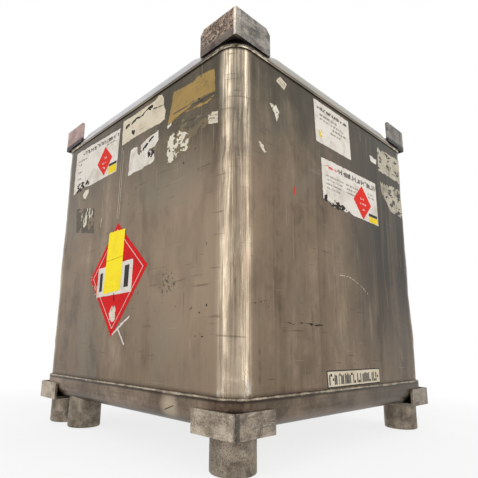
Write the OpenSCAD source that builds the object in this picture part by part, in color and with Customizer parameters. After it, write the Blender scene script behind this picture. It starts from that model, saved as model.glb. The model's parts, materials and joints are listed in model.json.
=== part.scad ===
// Square stainless-steel intermediate bulk container.
// A welded tank with round upright corners stands on tube feet, carries angle
// lugs at its eight corners for stacking, and has a hinged manway, a fill port
// and a relief vent on top and a ball valve in a recess low on its left wall.
//
// Frame: +Z up, origin on the floor under the middle of the tank.
// -Y is the front (placard) wall, +X the right wall, -X the outlet wall.

/* [Tank] */
// Width of the tank across its flat walls
tank_w = 1067; // [960:1:1180]
// Outside radius of the tank's upright corners
corner_r = 64; // [56:1:80]
// Thickness of the walls
wall_t = 3.5; // [2.5:0.5:5]
// Height of the bare wall from the pan's lip to the lap line of the top head
wall_h = 959; // [700:1:1100]

/* [Top head] */
// Thickness of the top head
head_t = 3; // [2:0.5:5]
// Height of the skirt that laps over the wall
skirt_h = 8; // [6:1:14]
// Outside radius of the round edge between the skirt and the flat top
head_knuckle = 36; // [28:1:44]

/* [Bottom pan] */
// Height of the pan from its underside to its lip
pan_h = 75; // [66:1:90]
// Thickness of the pan
pan_t = 5; // [3:0.5:7]
// Gap between the wall and the pan's lip, closed by the weld
pan_gap = 3.5; // [2:0.5:5]
// Outside radius of the round edge under the pan
pan_knuckle = 45; // [36:1:52]
// Height of the weld bead on the pan's lip
bead_h = 6; // [4:1:9]

/* [Lugs] */
// Thickness of the angle that the lugs are cut from
lug_t = 9.5; // [6:0.5:12]
// Length of each leg of a lug
lug_leg = 150; // [120:1:180]
// Height of the bottom lugs
low_lug_h = 60; // [50:1:70]
// Height of the stacking lugs at the top
top_lug_h = 90; // [80:1:110]
// Height of a stacking lug's lower edge above the lap line
top_lug_rise = 20; // [16:1:26]
// Outside bend radius of the bottom lugs
low_lug_bend = 22; // [12:1:30]
// Outside bend radius of the stacking lugs
top_lug_bend = 5; // [3:1:8]
// Size of the corner clipped off the ends of the front right stacking lug
lug_clip = 16; // [8:1:24]
// Size of the corner clipped off the ends of the other lugs
small_clip = 4; // [2:1:8]
// Thickness of the web in the lower end of each top lug
web_t = 6; // [4:1:8]

/* [Feet] */
// Height of the corner feet
foot_h = 90; // [70:1:120]
// Outside diameter of the tube feet
foot_d = 118; // [100:1:120]
// Wall thickness of the feet
foot_wall = 8; // [5:1:12]
// Distance from the wall's outer face in to the middle of a corner foot
foot_inset = 66; // [64:1:72]
// Gap between a corner foot and the inner foot beside it
foot_gap = 36; // [2:2:60]
// Thickness of the plate between a corner foot and the pan
plate_t = 10; // [6:1:14]
// Clearance between a stacked tank's feet and the lugs around them
stack_clear = 3; // [2:1:5]

/* [Manway] */
// Inside diameter of the manway
manway_d = 457; // [400:1:500]
// Wall thickness of the manway collar
collar_t = 5; // [4:1:8]
// Height of the collar above the top head
collar_h = 24; // [22:1:30]
// Width of the collar's flange
flange_w = 19; // [17:1:24]
// Thickness of the collar's flange
flange_t = 6; // [4:1:8]
// Thickness of the manway gasket
gasket_t = 4; // [3:1:6]
// Thickness of the lid
lid_t = 4; // [3:1:6]
// Diameter of the lid's hinge pin and the clamp pins
pin_d = 8; // [6:0.5:8]
// Diameter of the swing bolts
bolt_d = 10; // [8:1:10]
// Angle from upright at which the loose swing bolts lie
bolt_lie = 84; // [82:1:85]
// Diameter of the hand nuts
nut_d = 29; // [24:1:30]

/* [Fill port and vent] */
// Bore of the fill port
fill_d = 60; // [50:1:70]
// Distance of the fill port and the vent from the tank's middle, each way
port_at = 330; // [310:1:345]
// Height of the fill coupling above the top head
fill_h = 25; // [20:1:35]
// Outside diameter of the relief vent's body
vent_d = 52; // [46:1:60]
// Height of the relief vent's body above the top head
vent_h = 34; // [30:1:40]

/* [Valve recess] */
// Width of the recess in the left wall
well_w = 320; // [300:1:400]
// Depth of the recess from the wall's outer face
well_d = 230; // [225:1:280]
// Height of the recess above the pan's underside
well_h = 200; // [170:1:260]
// Thickness of the recess's plates
well_t = 4; // [3:0.5:6]

/* [Outlet valve] */
// Bore of the valve and its pipe
valve_bore = 50; // [40:1:52]
// Outside diameter of the outlet pipe
pipe_d = 60; // [58:0.5:62]
// Height of the outlet's axis above the pan's underside
outlet_rise = 52; // [52:1:60]
// Outside diameter of the bolted flanges
valve_flange_d = 104; // [102:1:104]
// Thickness of the bolted flanges
valve_flange_t = 12; // [10:1:16]
// Bolt circle of the flanges
valve_pcd = 84; // [83:0.5:85]
// Outside diameter of the neck between the flange and the ball's housing
valve_neck_d = 62; // [60:1:64]
// Length of that neck, which leaves room for the flange nuts
valve_neck_len = 13; // [12:1:16]
// Outside diameter of the housing round the ball
valve_body_d = 78; // [76:1:80]
// Diameter of the ball
ball_d = 64; // [62:0.5:66]
// Length of the lever from the stem's axis
lever_len = 132; // [110:1:135]

/* [Plate and earthing] */
// Width of the data plate
data_w = 150; // [100:1:200]
// Height of the data plate
data_h = 100; // [70:1:120]
// Height of the data plate's lower edge above the pan's lip
data_rise = 330; // [200:5:500]
// Diameter of the earthing stud
stud_d = 10; // [8:1:12]

/* [Hidden] */
$fn = 72;

// How far a cut reaches past the face it opens
cut = 1;
// Radial clearance of a running fit
run = 0.05;
// Clearance of loose neighbours
loose = 0.5;

half = tank_w / 2;

// Levels
pan_z = foot_h + plate_t;
lip_z = pan_z + pan_h;
lap_z = lip_z + wall_h;
skirt_top_z = lap_z + skirt_h;
head_z = skirt_top_z + head_knuckle;
top_lug_z = lap_z + top_lug_rise;
collar_z = head_z + collar_h;

// Offsets outward from the wall's outer face
pan_out = pan_gap + pan_t;
top_lug_out = lug_t - foot_inset + foot_d / 2 + stack_clear;

// The web sits this far above a top lug's lower end, and reaches past the head's round corner
web_rise = 6;
web_w = corner_r * 0.72;

// The wall's lower edge stands on the inside of the pan's round edge
seat_clear = 0.3;
inner_knuckle = pan_knuckle - pan_t;
seat_run = inner_knuckle - pan_gap;
seat_drop = sqrt(inner_knuckle * inner_knuckle - seat_run * seat_run);
wall_foot_z = pan_z + pan_knuckle - seat_drop + seat_clear;

// Corners as [x side, y side]
front_left = [-1, -1];
front_right = [1, -1];
rear_right = [1, 1];
rear_left = [-1, 1];
corners = [front_left, front_right, rear_right, rear_left];

// Manway
collar_r = manway_d / 2 + collar_t;
flange_r = collar_r + flange_w;
lid_rim_t = 4;
lid_rim_gap = 1.5;
lid_rim_drop = 2;
lid_r = flange_r + lid_rim_gap + lid_rim_t;
lid_z = collar_z + gasket_t;
lid_top_z = lid_z + lid_t;
barrel_r = pin_d / 2 + 4;
barrel_w = 36;
ear_t = 7;
ear_gap = 0.5;
hinge_y = lid_r + barrel_r + 10;
hinge_z = lid_z;
clamp_angles = [0, 180, 270];
clamp_out = 18;
clamp_rise = 13;
clamp_r = lid_r + clamp_out;
clamp_z = head_z + clamp_rise;
clamp_ear_t = 5;
eye_w = 11;
eye_r = pin_d / 2 + 4;
strap_root = 8;
slot_w = bolt_d + 2;
tab_w = 34;
tab_t = 8;
tab_root = 14;
tab_past = 8;
tab_top_z = lid_z + tab_t;
nut_lift = 2;
nut_h = 14;
nut_from = tab_top_z - clamp_z + nut_lift;
bolt_len = nut_from + nut_h + 4;
handle_y = -130;
handle_w = 120;
handle_d = 10;
lug_top_z = top_lug_z + top_lug_h;

// Fill port
fill_wall = 8;
fill_plug_len = 20;
fill_gasket_t = 3;
plug_head_t = 8;
drive_w = 22;
drive_h = 12;

// Relief vent
vent_bore = 36;
vent_hole = 22;
vent_floor_t = 5;
poppet_d = 32;
poppet_t = 4;
poppet_stem_d = 6;
spring_r = 9;
spring_wire = 2.4;
spring_turns = 4;
vent_cap_t = 4;
vent_cap_rim = 12;
vent_cap_gap = 0.2;
vent_floor_z = head_z + 6;
poppet_z = vent_floor_z + vent_floor_t;
vent_top_z = head_z + vent_h;
spring_z = poppet_z + poppet_t;
spring_h = vent_top_z - spring_z;

// Outlet, with x measured outward (towards -X) from the recess's back plate
outlet_z = pan_z + outlet_rise;
well_back_x = -half + well_d;
well_rim = pan_out;
pipe_in = 14;
pipe_out = 30;
seal_t = 2;
body_x0 = pipe_out + seal_t;
barrel_x0 = body_x0 + valve_flange_t;
seat_t = 10;
seat_gap = 0.3;
seat_back = 2;
seat_wall = 4;
cavity_r = ball_d / 2 + 1;
ball_x = barrel_x0 + valve_neck_len + seat_wall + seat_back + ball_d / 2;
seat_face_x = ball_x + ball_d / 2 + seat_back;
end_x0 = seat_face_x + 8;
end_len = 25;
stem_d = 16;
bonnet_d = 34;
bonnet_h = 60;
tongue_t = 6;
tongue_h = 5;
tongue_w = 14;
lever_t = 5;
lever_w = 26;
grip_t = 3;
grip_len = 80;
stem_nut_w = 22;
stem_nut_h = 8;
bolt_hole_d = 11;
flange_bolt_d = 10;
bolt_head_w = 16;
bolt_head_h = 7;
thread_len = 18;
nozzle_d = 59;
nozzle_len = 38;
hex_w = 70;
hex_h = 12;
cap_d = 74;
cap_t = 4;
cap_gap = 0.5;
cap_seal_t = 3;

// Data plate on the left wall, and earthing stud in the recess below it
data_t = 1.5;
data_z = lip_z + data_rise;
rivet_d = 5;
rivet_in = 8;
stud_in = 19;
stud_rise = 48;
stud_len = 34;
stud_base_t = 4;
stud_nut_from = 12;
stud_nut_w = 17;
stud_nut_h = 8;

steel = [0.47, 0.43, 0.37];
bright = [0.62, 0.60, 0.56];
worn = [0.40, 0.37, 0.33];
pitted = [0.52, 0.49, 0.43];
black = [0.10, 0.10, 0.10];
red = [0.60, 0.10, 0.08];
white = [0.90, 0.88, 0.82];

// ---------- Shapes shared by several pieces ----------

// A square of width w with round corners of radius r
module rounded_square(w, r) {
    square([w - 2 * r, w], center = true);
    square([w, w - 2 * r], center = true);
    for (sx = [-1, 1], sy = [-1, 1])
        translate([sx * (w / 2 - r), sy * (w / 2 - r)]) circle(r);
}

// Outline of a box's side, w wide and h high, with its lower corners rounded by k
module dish_side(w, h, k) {
    translate([-w / 2, k]) square([w, h - k]);
    translate([-w / 2 + k, 0]) square([w - 2 * k, k + cut]);
    intersection() {
        for (s = [-1, 1]) translate([s * (w / 2 - k), k]) circle(k);
        translate([-w / 2, 0]) square([w, h]);
    }
}

// A closed dish: square in plan with corners of radius r, and a lower edge rounded by k
module dish(w, r, h, k) {
    for (turn = [0, 90]) rotate([0, 0, turn]) rotate([90, 0, 0])
        linear_extrude(w - 2 * r, center = true) dish_side(w, h, k);
    for (sx = [-1, 1], sy = [-1, 1])
        translate([sx * (w / 2 - r), sy * (w / 2 - r), 0])
            rotate_extrude() intersection() {
                dish_side(2 * r, h, k);
                square([r, h]);
            }
}

// Carries a profile round the tank: its x is the distance outward from the wall
module around_tank() {
    for (turn = [0:90:270]) rotate([0, 0, turn]) {
        translate([half, half - corner_r, 0]) rotate([90, 0, 0])
            linear_extrude(tank_w - 2 * corner_r) children();
        translate([half - corner_r, half - corner_r, 0])
            rotate_extrude(angle = 90) translate([corner_r, 0]) children();
    }
}

// Puts its children, drawn for the rear right corner, at another corner
module at_corner(corner) {
    mirror([corner[0] < 0 ? 1 : 0, 0, 0])
        mirror([0, corner[1] < 0 ? 1 : 0, 0]) children();
}

// A square from the origin towards +x and +y, with the corner at the origin rounded
module bent_square(side, r) {
    translate([r, 0]) square([side - r, side]);
    translate([0, r]) square([side, side - r]);
    if (r > 0) translate([r, r]) circle(r);
}

// Outline of an angle with legs along +x and +y
module angle_outline(leg, t, bend) {
    difference() {
        bent_square(leg, bend);
        translate([t, t]) bent_square(leg, max(bend - t, 0));
    }
}

// An angle standing with its corner at the origin, its leg ends clipped at the top
module angle_lug(h, bend, clip) {
    difference() {
        linear_extrude(h) angle_outline(lug_leg, lug_t, bend);
        for (turn = [0, 90]) mirror([turn > 0 ? 1 : 0, turn > 0 ? -1 : 0, 0])
            translate([lug_leg, lug_t / 2, h]) rotate([0, 45, 0])
                cube([clip * sqrt(2), lug_t + 2 * cut, clip * sqrt(2)], center = true);
    }
}

// The space filled by the top head, as its outer surface bounds it
module head_space() {
    translate([0, 0, head_z]) mirror([0, 0, 1])
        dish(tank_w + 2 * head_t, corner_r + head_t, head_z - lap_z, head_knuckle);
}

// The space filled by the pan, as its outer surface bounds it
module pan_space() {
    translate([0, 0, pan_z])
        dish(tank_w + 2 * pan_out, corner_r + pan_out, pan_h, pan_knuckle);
}

// The box cut out of the tank for the valve recess
module well_space() {
    translate([-half - well_d, -well_w / 2, pan_z - cut])
        cube([2 * well_d + well_t, well_w, well_h + cut]);
}

// Places its children on the outlet's axis, drawn along +x from the recess's back plate
module on_outlet() {
    translate([well_back_x, 0, outlet_z]) mirror([1, 0, 0]) children();
}

// A ring along +x
module x_ring(x, len, outer, inner) {
    translate([x, 0, 0]) rotate([0, 90, 0]) difference() {
        cylinder(d = outer, h = len);
        if (inner > 0) translate([0, 0, -cut]) cylinder(d = inner, h = len + 2 * cut);
    }
}

// A six-sided prism, across its flats
module hex(w, h) {
    cylinder(d = w / cos(30), h = h, $fn = 6);
}

// ---------- Tank ----------

module body_shell() {
    color(steel) difference() {
        translate([0, 0, wall_foot_z]) linear_extrude(skirt_top_z - wall_foot_z) difference() {
            rounded_square(tank_w, corner_r);
            rounded_square(tank_w - 2 * wall_t, corner_r - wall_t);
        }
        well_space();
    }
}

module top_head() {
    color(bright) difference() {
        head_space();
        translate([0, 0, head_z - head_t]) mirror([0, 0, 1])
            dish(tank_w, corner_r, head_z - lap_z, head_knuckle - head_t);
        translate([0, 0, head_z - collar_h]) cylinder(r = collar_r, h = 2 * collar_h);
        translate([port_at, port_at, head_z - fill_h])
            cylinder(d = fill_d + 2 * fill_wall, h = 2 * fill_h);
        translate([-port_at, port_at, head_z - vent_h]) cylinder(d = vent_d, h = 2 * vent_h);
    }
}

module bottom_head() {
    color(steel) difference() {
        pan_space();
        translate([0, 0, pan_z + pan_t])
            dish(tank_w + 2 * pan_gap, corner_r + pan_gap, pan_h, inner_knuckle);
        well_space();
    }
}

// Back, roof and side plates of the recess, with a rim proud of the wall
module valve_well() {
    depth = well_d + well_rim;
    color(steel) translate([-half - well_rim, -well_w / 2, pan_z]) difference() {
        cube([depth + well_t, well_w, well_h]);
        translate([-cut, well_t, -cut])
            cube([depth + cut, well_w - 2 * well_t, well_h - well_t + cut]);
        translate([0, well_w / 2, outlet_rise]) rotate([0, 90, 0])
            cylinder(d = pipe_d, h = 2 * depth);
    }
}

module top_lap_weld() {
    color(bright) around_tank() translate([head_t, skirt_top_z]) difference() {
        circle(2.5);
        translate([-6, -6]) square([6, 12]);
    }
}

module bottom_lap_weld() {
    color(bright) difference() {
        around_tank() translate([0, lip_z]) polygon([[0, 0], [pan_out, 0],
            [pan_out - 1, bead_h * 0.45], [pan_out * 0.5, bead_h * 0.85], [0, bead_h]]);
        well_space();
    }
}

// ---------- Lugs and feet ----------

// The web in a lug's lower end that closes the corner between it and the round head
module lug_web() {
    from = lug_t / 2;
    translate([from, from, web_rise]) cube([lug_t - from + web_w, lug_t - from + web_w, web_t]);
}

module top_lug(corner, clip) {
    color(worn) difference() {
        at_corner(corner) translate([half + top_lug_out, half + top_lug_out, top_lug_z])
            rotate([0, 0, 180]) union() {
                angle_lug(top_lug_h, top_lug_bend, clip);
                lug_web();
            }
        head_space();
    }
}

module bottom_lug(corner) {
    color(worn) at_corner(corner)
        translate([half + pan_out + lug_t, half + pan_out + lug_t, foot_h])
            rotate([0, 0, 180]) angle_lug(low_lug_h, low_lug_bend, small_clip);
}

// Middle of the inner foot's tube, beside the corner foot
inner_foot_x = half - foot_inset - foot_d - foot_gap;

module foot_plates() {
    side = lug_leg - lug_t;
    far = foot_inset + pan_out + foot_d / 2 * sqrt(2) / 2 + 4;
    color(worn) for (corner = corners) difference() {
        at_corner(corner) translate([half + pan_out, half + pan_out, foot_h])
            rotate([0, 0, 180]) linear_extrude(plate_t) difference() {
                bent_square(side, max(low_lug_bend - lug_t, 0));
                translate([far, far]) rotate([0, 0, -45])
                    translate([-side, 0]) square([2 * side, side]);
            }
        if (corner[0] < 0) at_corner(corner)
            translate([inner_foot_x, half - foot_inset, 0]) cylinder(d = foot_d, h = lip_z);
    }
}

// A closed-end tube foot of height h, with a worn round edge underneath
module tube_foot(h) {
    edge = 5;
    difference() {
        rotate_extrude() {
            square([foot_d / 2 - edge, h]);
            translate([0, edge]) square([foot_d / 2, h - edge]);
            translate([foot_d / 2 - edge, edge]) circle(edge);
        }
        translate([0, 0, foot_wall]) cylinder(d = foot_d - 2 * foot_wall, h = h);
    }
}

module corner_foot(corner) {
    color(pitted) at_corner(corner)
        translate([half - foot_inset, half - foot_inset, 0]) tube_foot(foot_h);
}

// The feet beside the two left corner feet, cut to fit up against the pan
module inner_feet() {
    color(pitted) for (corner = [front_left, rear_left]) difference() {
        at_corner(corner) translate([inner_foot_x, half - foot_inset, 0])
            tube_foot(pan_z + pan_knuckle);
        pan_space();
    }
}

// ---------- Manway ----------

module manway_collar() {
    color(bright) difference() {
        union() {
            translate([0, 0, head_z - head_t - 6]) cylinder(r = collar_r, h = collar_h + head_t + 6);
            translate([0, 0, collar_z - flange_t]) cylinder(r = flange_r, h = flange_t);
        }
        translate([0, 0, head_z - collar_h]) cylinder(d = manway_d, h = 3 * collar_h);
    }
}

module manway_gasket() {
    color(white) translate([0, 0, collar_z]) difference() {
        cylinder(r = flange_r - 2, h = gasket_t);
        translate([0, 0, -cut]) cylinder(r = collar_r - 2, h = gasket_t + 2 * cut);
    }
}

// Lid with a turned-down rim, slotted clamp tabs and a hinge barrel
module manway_lid() {
    color(bright) difference() {
        union() {
            translate([0, 0, lid_z]) cylinder(r = lid_r, h = lid_t);
            translate([0, 0, collar_z - lid_rim_drop]) difference() {
                cylinder(r = lid_r, h = gasket_t + lid_rim_drop + cut);
                translate([0, 0, -cut])
                    cylinder(r = lid_r - lid_rim_t, h = gasket_t + lid_rim_drop + 3 * cut);
            }
            for (a = clamp_angles) rotate([0, 0, a])
                translate([lid_r - tab_root, -tab_w / 2, lid_z])
                    cube([clamp_r + tab_past - lid_r + tab_root, tab_w, tab_t]);
            translate([-barrel_w / 2, lid_r - strap_root, lid_z])
                cube([barrel_w, hinge_y - lid_r + strap_root, lid_t]);
            translate([-barrel_w / 2, hinge_y, hinge_z]) rotate([0, 90, 0])
                cylinder(r = barrel_r, h = barrel_w);
        }
        for (a = clamp_angles) rotate([0, 0, a])
            translate([clamp_r - slot_w / 2, -slot_w / 2, lid_z - cut])
                cube([slot_w / 2 + tab_past + cut, slot_w, tab_t + 2 * cut]);
        translate([-barrel_w, hinge_y, hinge_z]) rotate([0, 90, 0])
            cylinder(r = pin_d / 2 + run, h = 2 * barrel_w);
    }
}

// Bent bar across the front of the lid
module lid_handle() {
    bar_z = lug_top_z - handle_d / 2;
    color(bright) {
        for (s = [-1, 1]) translate([s * handle_w / 2, handle_y, lid_top_z])
            cylinder(d = handle_d, h = bar_z - lid_top_z);
        for (s = [-1, 1]) translate([s * handle_w / 2, handle_y, bar_z]) sphere(d = handle_d);
        translate([-handle_w / 2, handle_y, bar_z]) rotate([0, 90, 0])
            cylinder(d = handle_d, h = handle_w);
    }
}

module hinge_bracket() {
    inner = barrel_w / 2 + ear_gap;
    color(bright) for (s = [-1, 1])
        translate([s > 0 ? inner : -inner - ear_t, hinge_y, 0]) difference() {
            union() {
                translate([0, -barrel_r, head_z]) cube([ear_t, 2 * barrel_r, hinge_z - head_z]);
                translate([0, 0, hinge_z]) rotate([0, 90, 0]) cylinder(r = barrel_r, h = ear_t);
            }
            translate([-cut, 0, hinge_z]) rotate([0, 90, 0])
                cylinder(d = pin_d, h = ear_t + 2 * cut);
        }
}

module hinge_pin() {
    len = barrel_w + 2 * ear_gap + 2 * ear_t + 4;
    color(worn) translate([-len / 2, hinge_y, hinge_z]) rotate([0, 90, 0])
        cylinder(d = pin_d, h = len);
}

// Pairs of ears that carry the swing bolts
module clamp_brackets() {
    inner = eye_w / 2 + ear_gap;
    color(bright) for (a = clamp_angles, s = [-1, 1]) rotate([0, 0, a])
        translate([clamp_r, s > 0 ? inner : -inner - clamp_ear_t, 0]) difference() {
            union() {
                translate([-eye_r, 0, head_z]) cube([2 * eye_r, clamp_ear_t, clamp_z - head_z]);
                translate([0, 0, clamp_z]) rotate([-90, 0, 0])
                    cylinder(r = eye_r, h = clamp_ear_t);
            }
            translate([0, -cut, clamp_z]) rotate([-90, 0, 0])
                cylinder(d = pin_d, h = clamp_ear_t + 2 * cut);
        }
}

module clamp_pins() {
    len = eye_w + 2 * ear_gap + 2 * clamp_ear_t + 4;
    color(worn) for (a = clamp_angles) rotate([0, 0, a])
        translate([clamp_r, -len / 2, clamp_z]) rotate([-90, 0, 0]) cylinder(d = pin_d, h = len);
}

// Places its children, drawn upright from the pivot, as they lie when loose
module at_clamp(i) {
    rotate([0, 0, clamp_angles[i]]) translate([clamp_r, 0, clamp_z])
        rotate([0, bolt_lie, 0]) children();
}

module swing_bolt(i) {
    color(bright) at_clamp(i) difference() {
        union() {
            translate([0, -eye_w / 2, 0]) rotate([-90, 0, 0]) cylinder(r = eye_r, h = eye_w);
            cylinder(d = bolt_d, h = bolt_len);
        }
        translate([0, -eye_w, 0]) rotate([-90, 0, 0])
            cylinder(r = pin_d / 2 + run, h = 2 * eye_w);
    }
}

// Lobed nut turned by hand
module hand_nut(i) {
    lobes = 6;
    scallop_d = 8;
    color(bright) at_clamp(i) translate([0, 0, nut_from]) difference() {
        cylinder(d = nut_d, h = nut_h);
        translate([0, 0, -cut]) cylinder(r = bolt_d / 2 + run, h = nut_h + 2 * cut);
        for (a = [0:lobes - 1]) rotate([0, 0, (a + 0.5) * 360 / lobes])
            translate([nut_d / 2 + 1, 0, -cut]) cylinder(d = scallop_d, h = nut_h + 2 * cut);
    }
}

// ---------- Fill port and relief vent ----------

module fill_coupling() {
    color(bright) translate([port_at, port_at, head_z - head_t - 6]) difference() {
        cylinder(d = fill_d + 2 * fill_wall, h = fill_h + head_t + 6);
        translate([0, 0, -cut]) cylinder(d = fill_d, h = fill_h + head_t + 6 + 2 * cut);
    }
}

module fill_gasket() {
    color(white) translate([port_at, port_at, head_z + fill_h]) difference() {
        cylinder(d = fill_d + 2 * fill_wall - 4, h = fill_gasket_t);
        translate([0, 0, -cut]) cylinder(d = fill_d, h = fill_gasket_t + 2 * cut);
    }
}

// Threaded plug with a square drive
module fill_plug() {
    rim_z = head_z + fill_h + fill_gasket_t;
    color(bright) translate([port_at, port_at, rim_z]) {
        translate([0, 0, -fill_plug_len - fill_gasket_t])
            cylinder(d = fill_d - 2 * loose, h = fill_plug_len + fill_gasket_t + cut);
        cylinder(d = fill_d + 2 * fill_wall, h = plug_head_t);
        translate([-drive_w / 2, -drive_w / 2, 0]) cube([drive_w, drive_w, plug_head_t + drive_h]);
    }
}

module vent_body() {
    base_z = head_z - head_t - 6;
    color(bright) translate([-port_at, port_at, base_z]) difference() {
        cylinder(d = vent_d, h = vent_top_z - base_z);
        translate([0, 0, -cut]) cylinder(d = vent_hole, h = vent_top_z - base_z + 2 * cut);
        translate([0, 0, -cut]) cylinder(d = vent_bore, h = vent_floor_z - base_z + cut);
        translate([0, 0, poppet_z - base_z]) cylinder(d = vent_bore, h = vent_h);
    }
}

// Disc that closes the vent's hole, with a guide stem
module vent_poppet() {
    color(worn) translate([-port_at, port_at, poppet_z]) {
        cylinder(d = poppet_d, h = poppet_t);
        cylinder(d = poppet_stem_d, h = vent_top_z + vent_cap_t - poppet_z);
    }
}

// Point of the spring's wire section: s along the helix, c round the wire
spring_ring = 8;
spring_steps = 16 * spring_turns;
function spring_point(s, c) =
    let (a = 360 * spring_turns * s / spring_steps,
        b = 360 * c / spring_ring,
        rise = spring_h - spring_wire,
        r = spring_r + spring_wire / 2 * cos(b))
    [r * cos(a), r * sin(a),
        spring_wire / 2 + rise * s / spring_steps + spring_wire / 2 * sin(b)];

// Coil spring between the poppet and the cap
module vent_spring() {
    points = [for (s = [0:spring_steps], c = [0:spring_ring - 1]) spring_point(s, c)];
    sides = [for (s = [0:spring_steps - 1], c = [0:spring_ring - 1])
        let (next = (c + 1) % spring_ring)
        [s * spring_ring + c, s * spring_ring + next,
            (s + 1) * spring_ring + next, (s + 1) * spring_ring + c]];
    first = [for (c = [spring_ring - 1:-1:0]) c];
    last = [for (c = [0:spring_ring - 1]) spring_steps * spring_ring + c];
    color(bright) translate([-port_at, port_at, spring_z])
        polyhedron(points, concat([for (f = sides) [f[3], f[2], f[1], f[0]]],
            [[for (i = first) i]], [last]));
}

// Cap over the vent, with slots round its rim
module vent_cap() {
    inner_d = vent_d + 2 * vent_cap_gap;
    outer_d = inner_d + 2 * vent_cap_t;
    slots = 6;
    color(bright) translate([-port_at, port_at, vent_top_z]) difference() {
        union() {
            cylinder(d = outer_d, h = vent_cap_t);
            translate([0, 0, -vent_cap_rim]) cylinder(d = outer_d, h = vent_cap_rim + cut);
        }
        translate([0, 0, -vent_cap_rim - cut]) cylinder(d = inner_d, h = vent_cap_rim + cut);
        translate([0, 0, -cut]) cylinder(d = poppet_stem_d + 2 * run, h = vent_cap_t + 2 * cut);
        for (a = [0:slots - 1]) rotate([0, 0, a * 360 / slots])
            translate([vent_bore / 2 - 4, 0, -cut]) cylinder(d = 5, h = vent_cap_t + 2 * cut);
    }
}

// ---------- Outlet ----------

module outlet_pipe() {
    color(bright) on_outlet() x_ring(-pipe_in, pipe_in + pipe_out, pipe_d, valve_bore);
}

// Holes of the flanges' bolt circle
module flange_holes(x, len, d) {
    for (a = [45:90:315]) rotate([a, 0, 0]) translate([x, 0, valve_pcd / 2])
        rotate([0, 90, 0]) cylinder(d = d, h = len);
}

module outlet_flange() {
    color(bright) on_outlet() difference() {
        x_ring(pipe_out - valve_flange_t, valve_flange_t, valve_flange_d, pipe_d);
        flange_holes(pipe_out - valve_flange_t - cut, valve_flange_t + 2 * cut, bolt_hole_d);
    }
}

module flange_gasket() {
    color(white) on_outlet() x_ring(pipe_out, seal_t, valve_pcd - bolt_hole_d - 4, valve_bore);
}

// Body with its inlet flange and the bonnet that guides the stem
module valve_body() {
    color(bright) on_outlet() difference() {
        union() {
            x_ring(body_x0, valve_flange_t, valve_flange_d, 0);
            x_ring(barrel_x0 - cut, valve_neck_len + 2 * cut, valve_neck_d, 0);
            x_ring(barrel_x0 + valve_neck_len, end_x0 - barrel_x0 - valve_neck_len,
                valve_body_d, 0);
            translate([ball_x, 0, 0]) cylinder(d = bonnet_d, h = bonnet_h);
        }
        x_ring(body_x0 - cut, end_x0 - body_x0 + 2 * cut, valve_bore, 0);
        x_ring(ball_x - ball_d / 2 - seat_back, ball_d * 2, 2 * cavity_r, 0);
        translate([ball_x, 0, 0]) cylinder(r = stem_d / 2 + run, h = bonnet_h + cut);
        flange_holes(body_x0 - cut, valve_flange_t + 2 * cut, bolt_hole_d);
    }
}

// End piece screwed into the body, holding the outer seat
module valve_end() {
    color(bright) on_outlet() difference() {
        union() {
            x_ring(seat_face_x, end_x0 - seat_face_x + cut, 2 * cavity_r - 2 * run, 0);
            x_ring(end_x0, end_len, valve_body_d, 0);
        }
        x_ring(seat_face_x - cut, end_x0 + end_len, valve_bore, 0);
        x_ring(end_x0 + end_len - thread_len, thread_len + cut, nozzle_d, 0);
    }
}

// Soft rings on both sides of the ball
module valve_seats() {
    color(white) on_outlet() for (s = [-1, 1]) difference() {
        x_ring(s > 0 ? seat_face_x - seat_t : ball_x - ball_d / 2 - seat_back, seat_t,
            2 * cavity_r - 2 * loose, valve_bore);
        translate([ball_x, 0, 0]) sphere(d = ball_d + 2 * seat_gap);
    }
}

// Ball, drawn closed: its bore lies across the pipe
module valve_ball() {
    color(bright) on_outlet() translate([ball_x, 0, 0]) difference() {
        sphere(d = ball_d);
        rotate([90, 0, 0]) cylinder(d = valve_bore, h = 2 * ball_d, center = true);
        translate([-tongue_w, -tongue_t / 2, ball_d / 2 - tongue_h])
            cube([2 * tongue_w, tongue_t, ball_d]);
    }
}

module valve_stem() {
    shoulder_z = ball_d / 2;
    color(worn) on_outlet() translate([ball_x, 0, 0]) {
        translate([0, 0, shoulder_z]) cylinder(d = stem_d, h = bonnet_h - shoulder_z);
        translate([-tongue_w / 2, -tongue_t / 2, ball_d / 2 - tongue_h])
            cube([tongue_w, tongue_t, tongue_h + cut]);
        translate([0, 0, bonnet_h - cut]) cylinder(d = stem_d - 4, h = lever_t + stem_nut_h + cut);
    }
}

// Flat lever, drawn closed: it lies across the pipe
module valve_lever() {
    color(bright) on_outlet() translate([ball_x, 0, bonnet_h]) difference() {
        union() {
            cylinder(d = lever_w + 6, h = lever_t);
            translate([-lever_w / 2, 0, 0]) cube([lever_w, lever_len, lever_t]);
        }
        translate([0, 0, -cut]) cylinder(d = stem_d - 4, h = lever_t + 2 * cut);
    }
}

// Plastic sleeve on the lever
module lever_grip() {
    color(red) on_outlet()
        translate([ball_x - lever_w / 2 - grip_t, lever_len - grip_len + grip_t,
            bonnet_h - grip_t]) difference() {
            cube([lever_w + 2 * grip_t, grip_len, lever_t + 2 * grip_t]);
            translate([grip_t, -cut, grip_t])
                cube([lever_w, grip_len - grip_t + cut, lever_t]);
        }
}

module stem_nut() {
    color(bright) on_outlet() translate([ball_x, 0, bonnet_h + lever_t]) difference() {
        hex(stem_nut_w, stem_nut_h);
        translate([0, 0, -cut]) cylinder(d = stem_d - 4, h = stem_nut_h + 2 * cut);
    }
}

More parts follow.
